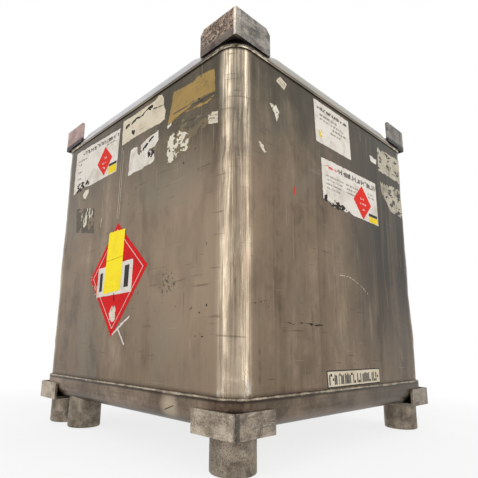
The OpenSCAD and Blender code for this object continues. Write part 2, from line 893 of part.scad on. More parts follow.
// Bolts through both flanges, with a head on one side and a nut on the other
module flange_bolts() {
    grip = 2 * valve_flange_t + seal_t;
    start = pipe_out - valve_flange_t;
    color(worn) on_outlet() for (a = [45:90:315])
        rotate([a, 0, 0]) translate([start, 0, valve_pcd / 2]) rotate([0, 90, 0]) {
            cylinder(d = flange_bolt_d, h = grip);
            translate([0, 0, -bolt_head_h]) hex(bolt_head_w, bolt_head_h);
            translate([0, 0, grip]) hex(bolt_head_w, bolt_head_h);
        }
}

// Hose adapter screwed into the end piece
module outlet_adapter() {
    start = end_x0 + end_len;
    color(bright) on_outlet() difference() {
        union() {
            x_ring(start - thread_len, thread_len + cut, nozzle_d - 2 * run, 0);
            translate([start, 0, 0]) rotate([0, 90, 0]) hex(hex_w, hex_h);
            x_ring(start + hex_h - cut, nozzle_len + cut, nozzle_d, 0);
        }
        x_ring(start - thread_len - cut, thread_len + hex_h + nozzle_len + 2 * cut,
            valve_bore, 0);
    }
}

// Screwed cap over the adapter's mouth
module dust_cap() {
    mouth = end_x0 + end_len + hex_h + nozzle_len;
    depth = nozzle_len - 8;
    inner_d = nozzle_d + 2 * cap_gap;
    grips = 12;
    color(black) on_outlet() difference() {
        x_ring(mouth - depth, depth + cap_seal_t + cap_t, cap_d, 0);
        x_ring(mouth - depth - cut, depth + cap_seal_t + cut, inner_d, 0);
        for (a = [0:grips - 1]) rotate([a * 360 / grips, 0, 0])
            translate([mouth - depth - cut, 0, cap_d / 2 + 2]) rotate([0, 90, 0])
                cylinder(d = 8, h = depth + cap_seal_t + cap_t + 2 * cut);
    }
}

module cap_gasket() {
    mouth = end_x0 + end_len + hex_h + nozzle_len;
    color(white) on_outlet() x_ring(mouth, cap_seal_t, nozzle_d, valve_bore);
}

// ---------- Data plate and earthing ----------

module data_plate() {
    color(bright) translate([-half - data_t, -data_w / 2, data_z]) difference() {
        cube([data_t, data_w, data_h]);
        for (y = [rivet_in, data_w - rivet_in], z = [rivet_in, data_h - rivet_in])
            translate([-cut, y, z]) rotate([0, 90, 0])
                cylinder(d = rivet_d, h = data_t + 2 * cut);
    }
}

module plate_rivets() {
    color(bright) for (y = [rivet_in, data_w - rivet_in], z = [rivet_in, data_h - rivet_in])
        translate([-half, y - data_w / 2, data_z + z]) rotate([0, -90, 0]) {
            cylinder(d = rivet_d, h = data_t);
            translate([0, 0, data_t]) cylinder(d = rivet_d + 3, h = 1.5);
        }
}

// Stud with its nut for the earthing clamp, welded to the recess's back plate
module earth_stud() {
    color(bright) on_outlet() translate([0, well_t + stud_in - well_w / 2, stud_rise])
        rotate([0, 90, 0]) {
            cylinder(d = 2 * stud_d, h = stud_base_t);
            cylinder(d = stud_d, h = stud_len);
            translate([0, 0, stud_nut_from]) hex(stud_nut_w, stud_nut_h);
        }
}

body_shell();
top_head();
bottom_head();
valve_well();
top_lap_weld();
bottom_lap_weld();
top_lug(front_left, small_clip);  // top_lug_front_left
top_lug(front_right, lug_clip);  // top_lug_front_right
top_lug(rear_right, small_clip);  // top_lug_rear_right
top_lug(rear_left, small_clip);  // top_lug_rear_left
bottom_lug(front_left);  // bottom_lug_front_left
bottom_lug(front_right);  // bottom_lug_front_right
bottom_lug(rear_right);  // bottom_lug_rear_right
bottom_lug(rear_left);  // bottom_lug_rear_left
foot_plates();
corner_foot(front_left);  // foot_front_left
corner_foot(front_right);  // foot_front_right
corner_foot(rear_right);  // foot_rear_right
corner_foot(rear_left);  // foot_rear_left
inner_feet();
manway_collar();
manway_gasket();
manway_lid();
lid_handle();
hinge_bracket();
hinge_pin();
clamp_brackets();
clamp_pins();
swing_bolt(0);  // swing_bolt_1
swing_bolt(1);  // swing_bolt_2
swing_bolt(2);  // swing_bolt_3
hand_nut(0);  // hand_nut_1
hand_nut(1);  // hand_nut_2
hand_nut(2);  // hand_nut_3
fill_coupling();
fill_plug();
fill_gasket();
vent_body();
vent_poppet();
vent_spring();
vent_cap();
outlet_pipe();
outlet_flange();
flange_gasket();
valve_body();
valve_end();
valve_seats();
valve_ball();
valve_stem();
valve_lever();
lever_grip();
stem_nut();
flange_bolts();
outlet_adapter();
dust_cap();
cap_gasket();
data_plate();
plate_rivets();
earth_stud();
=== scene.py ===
"""Looks of a square stainless-steel intermediate bulk container.

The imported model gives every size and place. This script dresses it: worn steel walls that are
slightly out of flat, rippled welds, scuffed lugs, pitted tube feet, torn labels, a taped placard,
and fittings with softened edges. It then sets a plain studio and the camera.

Frame: metres, +Z up, origin on the floor under the middle of the tank. -Y is the front wall with
the placard, +X the right wall, -X the wall with the valve recess.
"""

from __future__ import annotations

import json
import logging
import math
import random
from dataclasses import dataclass
from enum import Enum
from typing import Callable, Sequence, Union

import bmesh
import bpy
import numpy as np
from mathutils import Matrix, Vector, noise

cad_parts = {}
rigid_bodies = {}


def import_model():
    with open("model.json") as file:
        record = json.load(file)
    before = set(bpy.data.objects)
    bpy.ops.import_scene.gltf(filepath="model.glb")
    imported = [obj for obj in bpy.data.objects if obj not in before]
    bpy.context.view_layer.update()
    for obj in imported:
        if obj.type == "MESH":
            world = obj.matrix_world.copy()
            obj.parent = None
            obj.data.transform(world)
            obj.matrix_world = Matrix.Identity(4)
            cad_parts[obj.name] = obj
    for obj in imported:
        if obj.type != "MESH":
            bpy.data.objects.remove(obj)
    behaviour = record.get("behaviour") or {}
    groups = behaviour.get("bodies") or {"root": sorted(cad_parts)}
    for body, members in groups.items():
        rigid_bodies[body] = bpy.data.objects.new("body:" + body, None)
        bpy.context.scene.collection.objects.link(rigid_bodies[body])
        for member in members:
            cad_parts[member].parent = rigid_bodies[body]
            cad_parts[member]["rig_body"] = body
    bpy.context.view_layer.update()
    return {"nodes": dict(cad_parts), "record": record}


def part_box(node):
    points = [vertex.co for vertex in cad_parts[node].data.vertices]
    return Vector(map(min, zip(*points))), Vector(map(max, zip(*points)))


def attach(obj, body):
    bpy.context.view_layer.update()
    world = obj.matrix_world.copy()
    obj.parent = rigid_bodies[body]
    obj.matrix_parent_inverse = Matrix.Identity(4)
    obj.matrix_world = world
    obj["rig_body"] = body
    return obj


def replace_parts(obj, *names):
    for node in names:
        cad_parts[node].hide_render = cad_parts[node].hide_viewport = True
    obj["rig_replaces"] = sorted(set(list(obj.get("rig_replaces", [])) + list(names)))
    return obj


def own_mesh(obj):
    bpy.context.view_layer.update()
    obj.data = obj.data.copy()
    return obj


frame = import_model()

LOG = logging.getLogger("container")
Triple = tuple[float, float, float]
Colour = Triple
Point2 = tuple[float, float]
Piece = bpy.types.Object
Material = bpy.types.Material
Mesh = bmesh.types.BMesh
Number = Union["Value", float]
Tint = Union["Value", Colour]
Input = Union["Value", float, bool, Triple, Material]
MM = 0.001
DOUBLE = 1e-6
ORIGIN = (0.0, 0.0, 0.0)
TANK = "tank"


class Wall(Enum):
    """The tank's four walls, each with its outward direction and the direction of its width."""

    FRONT = ((0.0, -1.0), (1.0, 0.0))
    RIGHT = ((1.0, 0.0), (0.0, 1.0))
    REAR = ((0.0, 1.0), (-1.0, 0.0))
    LEFT = ((-1.0, 0.0), (0.0, -1.0))

    @property
    def out(self) -> Vector:
        """Outward direction in plan."""
        return Vector((*self.value[0], 0.0))

    @property
    def along(self) -> Vector:
        """Direction of the wall's width in plan."""
        return Vector((*self.value[1], 0.0))


class Slot(Enum):
    """The record's material slots."""

    WALL = "wall_steel"
    FITTING = "fitting_steel"
    LUG = "lug_steel"
    FOOT = "foot_steel"
    SHAFT = "shaft_steel"
    SEAL = "seal"
    GRIP = "grip_plastic"
    CAP = "cap_plastic"


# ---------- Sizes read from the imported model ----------


@dataclass(frozen=True)
class TankSizes:
    """Main sizes of the tank, in metres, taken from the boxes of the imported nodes.

    Attributes:
        half: Distance from the middle to a wall's outer face.
        foot_z: Lower edge of the wall inside the pan.
        skirt_top: Upper edge of the wall, where the head's skirt ends.
        pan_z: Underside of the pan.
        lip_z: Upper edge of the pan's lip.
        pan_out: How far the pan's lip stands out from the wall.
        lap_z: Lower edge of the head's skirt.
        head_z: Top of the flat head.
        skirt_out: How far the skirt stands out from the wall.
        recess_half: Half the width of the valve recess.
        recess_z: Upper edge of the recess.
        recess_back: Distance of the recess's back plate from the middle, along -X.
        corner_r: Outside radius of the upright corners.
        wall_t: Thickness of the walls.
        head_t: Thickness of the head.
        pan_t: Thickness of the pan.
        head_knuckle: Radius of the round edge of the head.
        pan_knuckle: Radius of the round edge of the pan.
        foot_at: Distance of the feet's middles from the tank's middle, along X and Y.
        fill_at: Middle of the fill port in plan.
        vent_at: Middle of the relief vent in plan.
    """

    half: float
    foot_z: float
    skirt_top: float
    pan_z: float
    lip_z: float
    pan_out: float
    lap_z: float
    head_z: float
    skirt_out: float
    recess_half: float
    recess_z: float
    recess_back: float
    corner_r: float = 64 * MM
    wall_t: float = 3.5 * MM
    head_t: float = 3 * MM
    pan_t: float = 5 * MM
    head_knuckle: float = 36 * MM
    pan_knuckle: float = 45 * MM
    foot_at: float = 0.4675
    fill_at: Point2 = (0.33, 0.33)
    vent_at: Point2 = (-0.33, 0.33)

    @classmethod
    def from_frame(cls) -> TankSizes:
        """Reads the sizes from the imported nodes.

        Returns:
            The tank's sizes.
        """
        shell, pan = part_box("body_shell"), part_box("bottom_head")
        head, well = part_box("top_head"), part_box("valve_well")
        half = shell[1].x
        return cls(half=half, foot_z=shell[0].z, skirt_top=shell[1].z, pan_z=pan[0].z,
                   lip_z=pan[1].z, pan_out=pan[1].x - half, lap_z=head[0].z, head_z=head[1].z,
                   skirt_out=head[1].x - half, recess_half=well[1].y, recess_z=well[1].z,
                   recess_back=-well[1].x)


@dataclass(frozen=True)
class Station:
    """A place on the tank's plan outline: a point of the wall's face and its outward direction."""

    at: Vector
    out: Vector
    wall: Wall
    width: float

    def point(self, outward: float, z: float) -> Vector:
        """The point that lies outward from the wall's face at height z."""
        return Vector((self.at.x + self.out.x * outward, self.at.y + self.out.y * outward, z))


@dataclass(frozen=True)
class Outline:
    """The tank's rounded-square plan, walked counter-clockwise from the front wall's left end."""

    sizes: TankSizes
    step: float = 12 * MM
    arc_steps: int = 14

    def widths(self, wall: Wall) -> list[float]:
        """Places along a wall's flat part, with the recess's edges among those of the left wall.

        Args:
            wall: The wall.

        Returns:
            Distances from the wall's middle along its width, in order.
        """
        end = self.sizes.half - self.sizes.corner_r
        marks = [-end, end]
        if wall is Wall.LEFT:
            marks = [-end, -self.sizes.recess_half, self.sizes.recess_half, end]
        places: list[float] = [-end]
        for low, high in zip(marks, marks[1:]):
            count = max(1, round((high - low) / self.step))
            places += [low + (high - low) * i / count for i in range(1, count + 1)]
        return places

    def stations(self) -> list[Station]:
        """Every station of the outline, in order.

        Returns:
            The stations of the four flats and four corner arcs.
        """
        found: list[Station] = []
        inner = self.sizes.half - self.sizes.corner_r
        for wall in Wall:
            for width in self.widths(wall):
                at = wall.out * self.sizes.half + wall.along * width
                found.append(Station(at, wall.out, wall, width))
            centre = wall.out * inner + wall.along * inner
            for i in range(1, self.arc_steps):
                turn = math.pi / 2 * i / self.arc_steps
                out = wall.out * math.cos(turn) + wall.along * math.sin(turn)
                at = centre + out * self.sizes.corner_r
                found.append(Station(at, out, wall, inner + turn * self.sizes.corner_r))
        return found


def clamp(share: float) -> float:
    """A share, kept from 0 to 1."""
    return max(0.0, min(1.0, share))


def waves(point: Vector, across: float, upward: float, start: float = 0.0) -> float:
    """Smooth noise from -1 to 1, with its waves per metre across and upward."""
    return noise.noise(Vector((point.x * across, point.y * across, point.z * upward + start)))


@dataclass(frozen=True)
class Dent:
    """A shallow dent pressed into a wall or the pan."""

    at: Triple
    reach: float
    depth: float

    def press(self, point: Vector) -> float:
        """How far the dent moves a point inward, in metres."""
        away = (point - Vector(self.at)).length / self.reach
        return self.depth * math.exp(-away * away * 2.5)


@dataclass(frozen=True)
class WallWear:
    """How far the walls stand out of flat: broad waves, small waves and dents.

    Attributes:
        sizes: The tank's sizes.
        broad: Height of the broad waves.
        small: Height of the small waves.
        corner: Height of the knocks on the round corners.
        calm_ends: Height over which everything fades out toward the lap and the lip.
        calm_side: Distance over which it fades out toward the recess.
        dents: The dents.
    """

    sizes: TankSizes
    broad: float = 1.5 * MM
    small: float = 0.35 * MM
    corner: float = 3.4 * MM
    calm_ends: float = 0.09
    calm_side: float = 0.08
    dents: tuple[Dent, ...] = (
        Dent((0.30, -0.5335, 0.86), 0.10, 2.2 * MM),
        Dent((0.05, -0.5335, 0.35), 0.12, 1.6 * MM),
        Dent((-0.38, -0.5335, 0.45), 0.14, 1.8 * MM),
        Dent((0.5335, -0.25, 0.55), 0.13, 2.0 * MM),
        Dent((0.5335, 0.18, 0.42), 0.10, 1.8 * MM),
        Dent((0.5335, 0.34, 0.65), 0.15, 1.6 * MM),
        Dent((0.515, -0.515, 0.86), 0.05, 2.4 * MM),
        Dent((0.512, -0.520, 0.56), 0.045, 1.8 * MM),
        Dent((0.520, -0.508, 0.38), 0.05, 2.0 * MM),
        Dent((0.516, -0.512, 1.03), 0.04, 1.4 * MM),
        Dent((0.484, -0.532, 0.985), 0.028, 1.5 * MM),
        Dent((0.482, -0.533, 0.835), 0.034, 2.6 * MM),
        Dent((0.492, -0.531, 0.745), 0.030, 1.8 * MM),
        Dent((0.497, -0.529, 0.440), 0.034, 1.8 * MM),
        Dent((0.502, -0.527, 0.235), 0.030, 2.2 * MM),
    )

    def fade(self, point: Vector) -> float:
        """From 0 at the lap, the lip and the recess to 1 on the free wall."""
        s = self.sizes
        ends = min(s.lap_z - point.z, point.z - s.lip_z) / self.calm_ends
        edge = 1.0
        if point.x < s.corner_r - s.half:
            sideways = abs(point.y) - s.recess_half
            edge = max(sideways, point.z - s.recess_z) / self.calm_side
        return clamp(min(ends, edge))

    def outward(self, point: Vector) -> float:
        """How far the wall's face stands out at a point of the true wall.

        Args:
            point: A point on the flat or round face of the wall.

        Returns:
            Metres outward, less than zero in a dent.
        """
        fade = self.fade(point)
        if fade == 0.0:
            return 0.0
        rise = self.broad * waves(point, 2.6, 1.9, 3) + self.small * waves(point, 9, 5, 7)
        corner = min(abs(point.x), abs(point.y)) - (self.sizes.half - self.sizes.corner_r)
        if corner > 0:
            knock = (waves(point, 26, 7) + 0.5 * waves(point, 50, 16, 5)
                     + 0.22 * waves(point, 62, 34, 2))
            rise += self.corner * knock * min(1.0, corner / (10 * MM))
        rise -= sum(dent.press(point) for dent in self.dents)
        return rise * fade * fade * (3 - 2 * fade)


# ---------- Meshes ----------


def link(name: str, mesh: bpy.types.Mesh) -> Piece:
    """Makes an object of a mesh, at the origin, and links it to the scene."""
    piece = bpy.data.objects.new(name, mesh)
    bpy.context.scene.collection.objects.link(piece)
    return piece


def new_object(name: str, verts: Sequence[Vector], faces: Sequence[Sequence[int]],
               edges: Sequence[tuple[int, int]] = ()) -> Piece:
    """Makes an object from vertices and faces.

    Args:
        name: The piece's name.
        verts: Vertices in metres.
        faces: Faces as lists of vertex numbers.
        edges: Loose edges, where there are no faces.

    Returns:
        The new object, at the origin.
    """
    mesh = bpy.data.meshes.new(name)
    mesh.from_pydata([tuple(v) for v in verts], list(edges), [list(f) for f in faces])
    mesh.validate()
    return link(name, mesh)


def from_bmesh(name: str, shape: Mesh) -> Piece:
    """Makes an object from a bmesh and frees it.

    Args:
        name: The piece's name.
        shape: The mesh to use up.

    Returns:
        The new object, at the origin.
    """
    mesh = bpy.data.meshes.new(name)
    shape.to_mesh(mesh)
    shape.free()
    return link(name, mesh)


def bake(piece: Piece) -> Piece:
    """Replaces a piece's mesh by its evaluated one and removes its modifiers.

    Args:
        piece: An object with modifiers.

    Returns:
        The same object, with a plain mesh.
    """
    bpy.context.view_layer.update()
    evaluated = piece.evaluated_get(bpy.context.evaluated_depsgraph_get())
    mesh = bpy.data.meshes.new_from_object(evaluated)
    mesh.name = piece.name
    piece.modifiers.clear()
    piece.data = mesh
    return piece


def smooth(piece: Piece, sharp: float = 40.0) -> Piece:
    """Shades a piece smooth, except across edges sharper than an angle in degrees."""
    mesh = piece.data
    mesh.polygons.foreach_set("use_smooth", [True] * len(mesh.polygons))
    mesh.set_sharp_from_angle(angle=math.radians(sharp))
    return piece


def merge(piece: Piece, closed: bool = True) -> Piece:
    """Merges a piece's doubled vertices, and turns its faces outward where it is closed."""
    shape = bmesh.new()
    shape.from_mesh(piece.data)
    bmesh.ops.remove_doubles(shape, verts=shape.verts, dist=DOUBLE)
    if closed:
        bmesh.ops.recalc_face_normals(shape, faces=shape.faces)
    shape.to_mesh(piece.data)
    shape.free()
    return piece


def soften(piece: Piece, width: float, edge_slot: int = -1, angle: float = 32.0) -> Piece:
    """Rounds a piece's sharp edges with a fine bevel and evens its normals.

    Args:
        piece: The piece.
        width: Width of the bevel.
        edge_slot: Material slot of the bevel's faces, or -1 for that of their neighbours.
        angle: Edges sharper than this are rounded, in degrees.

    Returns:
        The piece, with a plain mesh.
    """
    piece.data.polygons.foreach_set("use_smooth", [True] * len(piece.data.polygons))
    bevel = piece.modifiers.new("bevel", "BEVEL")
    bevel.width = width
    bevel.segments = 2
    bevel.limit_method = "ANGLE"
    bevel.angle_limit = math.radians(angle)
    bevel.material = edge_slot
    even = piece.modifiers.new("even", "WEIGHTED_NORMAL")
    even.keep_sharp = True
    return bake(piece)


def thicken(piece: Piece, thickness: float) -> Piece:
    """Gives a surface its thickness, inward from its outer face."""
    solid = piece.modifiers.new("solid", "SOLIDIFY")
    solid.thickness = thickness
    solid.offset = -1.0
    solid.use_even_offset = True
    return bake(piece)


def hand_over(piece: Piece, body: str,
              stands_for: Sequence[str] = ()) -> Piece:
    """Gives a finished piece its body and the nodes that it stands for.

    Args:
        piece: The finished piece.
        body: The body that it rides on.
        stands_for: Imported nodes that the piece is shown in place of.

    Returns:
        The piece.
    """
    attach(piece, body)
    if stands_for:
        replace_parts(piece, *stands_for)
    LOG.info("%s: %d faces", piece.name, len(piece.data.polygons))
    return piece


def paint(piece: Piece, *materials: Material) -> Piece:
    """Puts materials into a piece's slots, in order."""
    piece.data.materials.clear()
    for material in materials:
        piece.data.materials.append(material)
    return piece


# ---------- Finishes ----------


def darker(colour: Colour, share: float) -> Colour:
    """A colour, darkened to a share of its strength."""
    return tuple(part * share for part in colour)


def operator(name: str, swapped: bool = False) -> Callable[..., Value]:
    """Makes an operator of Value that adds an arithmetic node.

    Args:
        name: The node's operation.
        swapped: Whether the value comes second.

    Returns:
        The operator.
    """
    def apply(value: Value, other: Number = 0.0) -> Value:
        """Adds the node."""
        return value.tree.math(name, *((other, value) if swapped else (value, other)))

    return apply


@dataclass(frozen=True, eq=False)
class Value:
    """A node's output. Plain arithmetic with it adds nodes."""

    tree: Tree
    socket: bpy.types.NodeSocket

    __add__ = operator("ADD")
    __sub__ = operator("SUBTRACT")
    __rsub__ = operator("SUBTRACT", True)
    __mul__ = operator("MULTIPLY")
    __truediv__ = operator("DIVIDE")
    __abs__ = operator("ABSOLUTE")

    def __getitem__(self, output: int | str) -> Value:
        """Another output of the same node."""
        return Value(self.tree, self.socket.node.outputs[output])


class Tree:
    """A node tree, built up by short calls that each return a value."""

    def __init__(self, tree: bpy.types.NodeTree) -> None:
        """Takes over a node tree."""
        self.nodes = tree.nodes
        self.links = tree.links

    def set(self, socket: bpy.types.NodeSocket, value: Input) -> None:
        """Links an input to a value, or gives it a plain one."""
        if isinstance(value, Value):
            self.links.new(value.socket, socket)
        elif isinstance(value, tuple) and len(value) == 3 and socket.type == "RGBA":
            socket.default_value = (*value, 1.0)
        else:
            socket.default_value = value

    def add(self, kind: str, given: dict[int | str, Input] | None = None, output: int | str = 0,
            **settings: str) -> Value:
        """Adds a node.

        Args:
            kind: Its type.
            given: What goes into its inputs.
            output: The output to return.
            settings: Its properties.

        Returns:
            One of its outputs.
        """
        node = self.nodes.new(kind)
        for name, setting in settings.items():
            setattr(node, name, setting)
        for name, value in (given or {}).items():
            self.set(node.inputs[name], value)
        return Value(self, node.outputs[output])

    def math(self, operation: str, first: Number, second: Number = 0.0) -> Value:
        """One step of arithmetic."""
        return self.add("ShaderNodeMath", {0: first, 1: second}, operation=operation)

    def least(self, first: Number, second: Number) -> Value:
        """The smaller of two values."""
        return self.math("MINIMUM", first, second)

    def most(self, first: Number, second: Number) -> Value:
        """The larger of two values."""
        return self.math("MAXIMUM", first, second)

    def away(self, across: Value, upward: Value) -> Value:
        """The length of a way with two parts at right angles."""
        return self.math("SQRT", across * across + upward * upward)


class Graph(Tree):
    """A material's node tree."""

    def __init__(self, name: str) -> None:
        """Makes an empty material with a Principled shader."""
        self.material = bpy.data.materials.new(name)
        self.material.use_nodes = True
        super().__init__(self.material.node_tree)
        self.shader = self.nodes["Principled BSDF"]
        self.place = self.add("ShaderNodeTexCoord", output="Object")
        self.colour: Tint = (0.8, 0.8, 0.8)

    def spread(self, scale: Triple, shift: Triple = ORIGIN, turn: Triple = ORIGIN) -> Value:
        """Object coordinates, turned, stretched and shifted."""
        return self.add("ShaderNodeMapping", {"Vector": self.place, "Scale": scale,
                                              "Location": shift, "Rotation": turn})

    def cloud(self, scale: Triple, detail: float = 4.0, rough: float = 0.55, twist: float = 0.0,
              shift: Triple = ORIGIN, turn: Triple = ORIGIN) -> Value:
        """Noise from 0 to 1."""
        return self.add("ShaderNodeTexNoise", {"Vector": self.spread(scale, shift, turn),
                                               "Scale": 1.0, "Detail": detail,
                                               "Roughness": rough, "Distortion": twist})

    def spots(self, scale: Triple, shift: Triple = ORIGIN, rate: float = 0.0,
              amount: float = 0.0) -> Value:
        """Distance to the nearest of scattered points, for pits and nicks.

        Args:
            scale: Points per metre along X, Y and Z.
            shift: Moves the pattern.
            rate: How quickly the pattern is bent, so that round marks turn irregular.
            amount: How far it is bent.

        Returns:
            The distance, in cells.
        """
        vector = self.spread(scale, shift)
        if amount > 0:
            noises = self.add("ShaderNodeTexNoise", {"Vector": vector, "Scale": rate}, "Color")
            bent = self.add("ShaderNodeVectorMath", {0: noises, "Scale": amount},
                            operation="SCALE")
            vector = self.add("ShaderNodeVectorMath", {0: vector, 1: bent})
        return self.add("ShaderNodeTexVoronoi", {"Vector": vector, "Scale": 1.0})

    def band(self, value: Value, low: float, high: float, start: float = 0.0,
             end: float = 1.0) -> Value:
        """Carries a value from the range low to high over to start to end, smoothly."""
        return self.add("ShaderNodeMapRange", {"Value": value, "From Min": low, "From Max": high,
                                               "To Min": start, "To Max": end},
                        interpolation_type="SMOOTHSTEP")

    def weigh(self, *parts: tuple[Value, float]) -> Value:
        """Adds up values, each times its share.

        Args:
            parts: Pairs of a value and its share.

        Returns:
            The weighted sum.
        """
        total: Value | float = 0.0
        for value, share in parts:
            total = self.add("ShaderNodeMath", {0: value, 1: share, 2: total},
                             operation="MULTIPLY_ADD")
        return total

    def mix(self, share: Number, first: Tint, second: Tint) -> Value:
        """Mixes two colours."""
        return self.add("ShaderNodeMix", {0: share, 6: first, 7: second}, 2, data_type="RGBA")

    def coat(self, share: Number, tint: Tint) -> None:
        """Covers the colour so far with a share of another one."""
        self.colour = self.mix(share, self.colour, tint)

    def axes(self) -> tuple[Value, Value, Value]:
        """The three object coordinates by themselves."""
        x = self.add("ShaderNodeSeparateXYZ", {0: self.place})
        return x, x[1], x[2]

    def finish(self, rough: Number, height: Value | None = None, strength: float = 0.5,
               depth: float = 1.0 * MM, metal: Number = 1.0, specular: float = 0.5) -> Material:
        """Joins the colour and the last values to the shader.

        Args:
            rough: Roughness.
            height: Relief, if any, from 0 to 1.
            strength: How strongly the relief shows.
            depth: Depth of the relief.
            metal: Metallic share.
            specular: Specular level of what isn't metal.

        Returns:
            The finished material.
        """
        for name, value in (("Base Color", self.colour), ("Roughness", rough), ("Metallic", metal),
                            ("Specular IOR Level", specular)):
            self.set(self.shader.inputs[name], value)
        if height is not None:
            normal = self.add("ShaderNodeBump", {"Strength": strength, "Distance": depth,
                                                 "Height": height})
            self.set(self.shader.inputs["Normal"], normal)
        return self.material


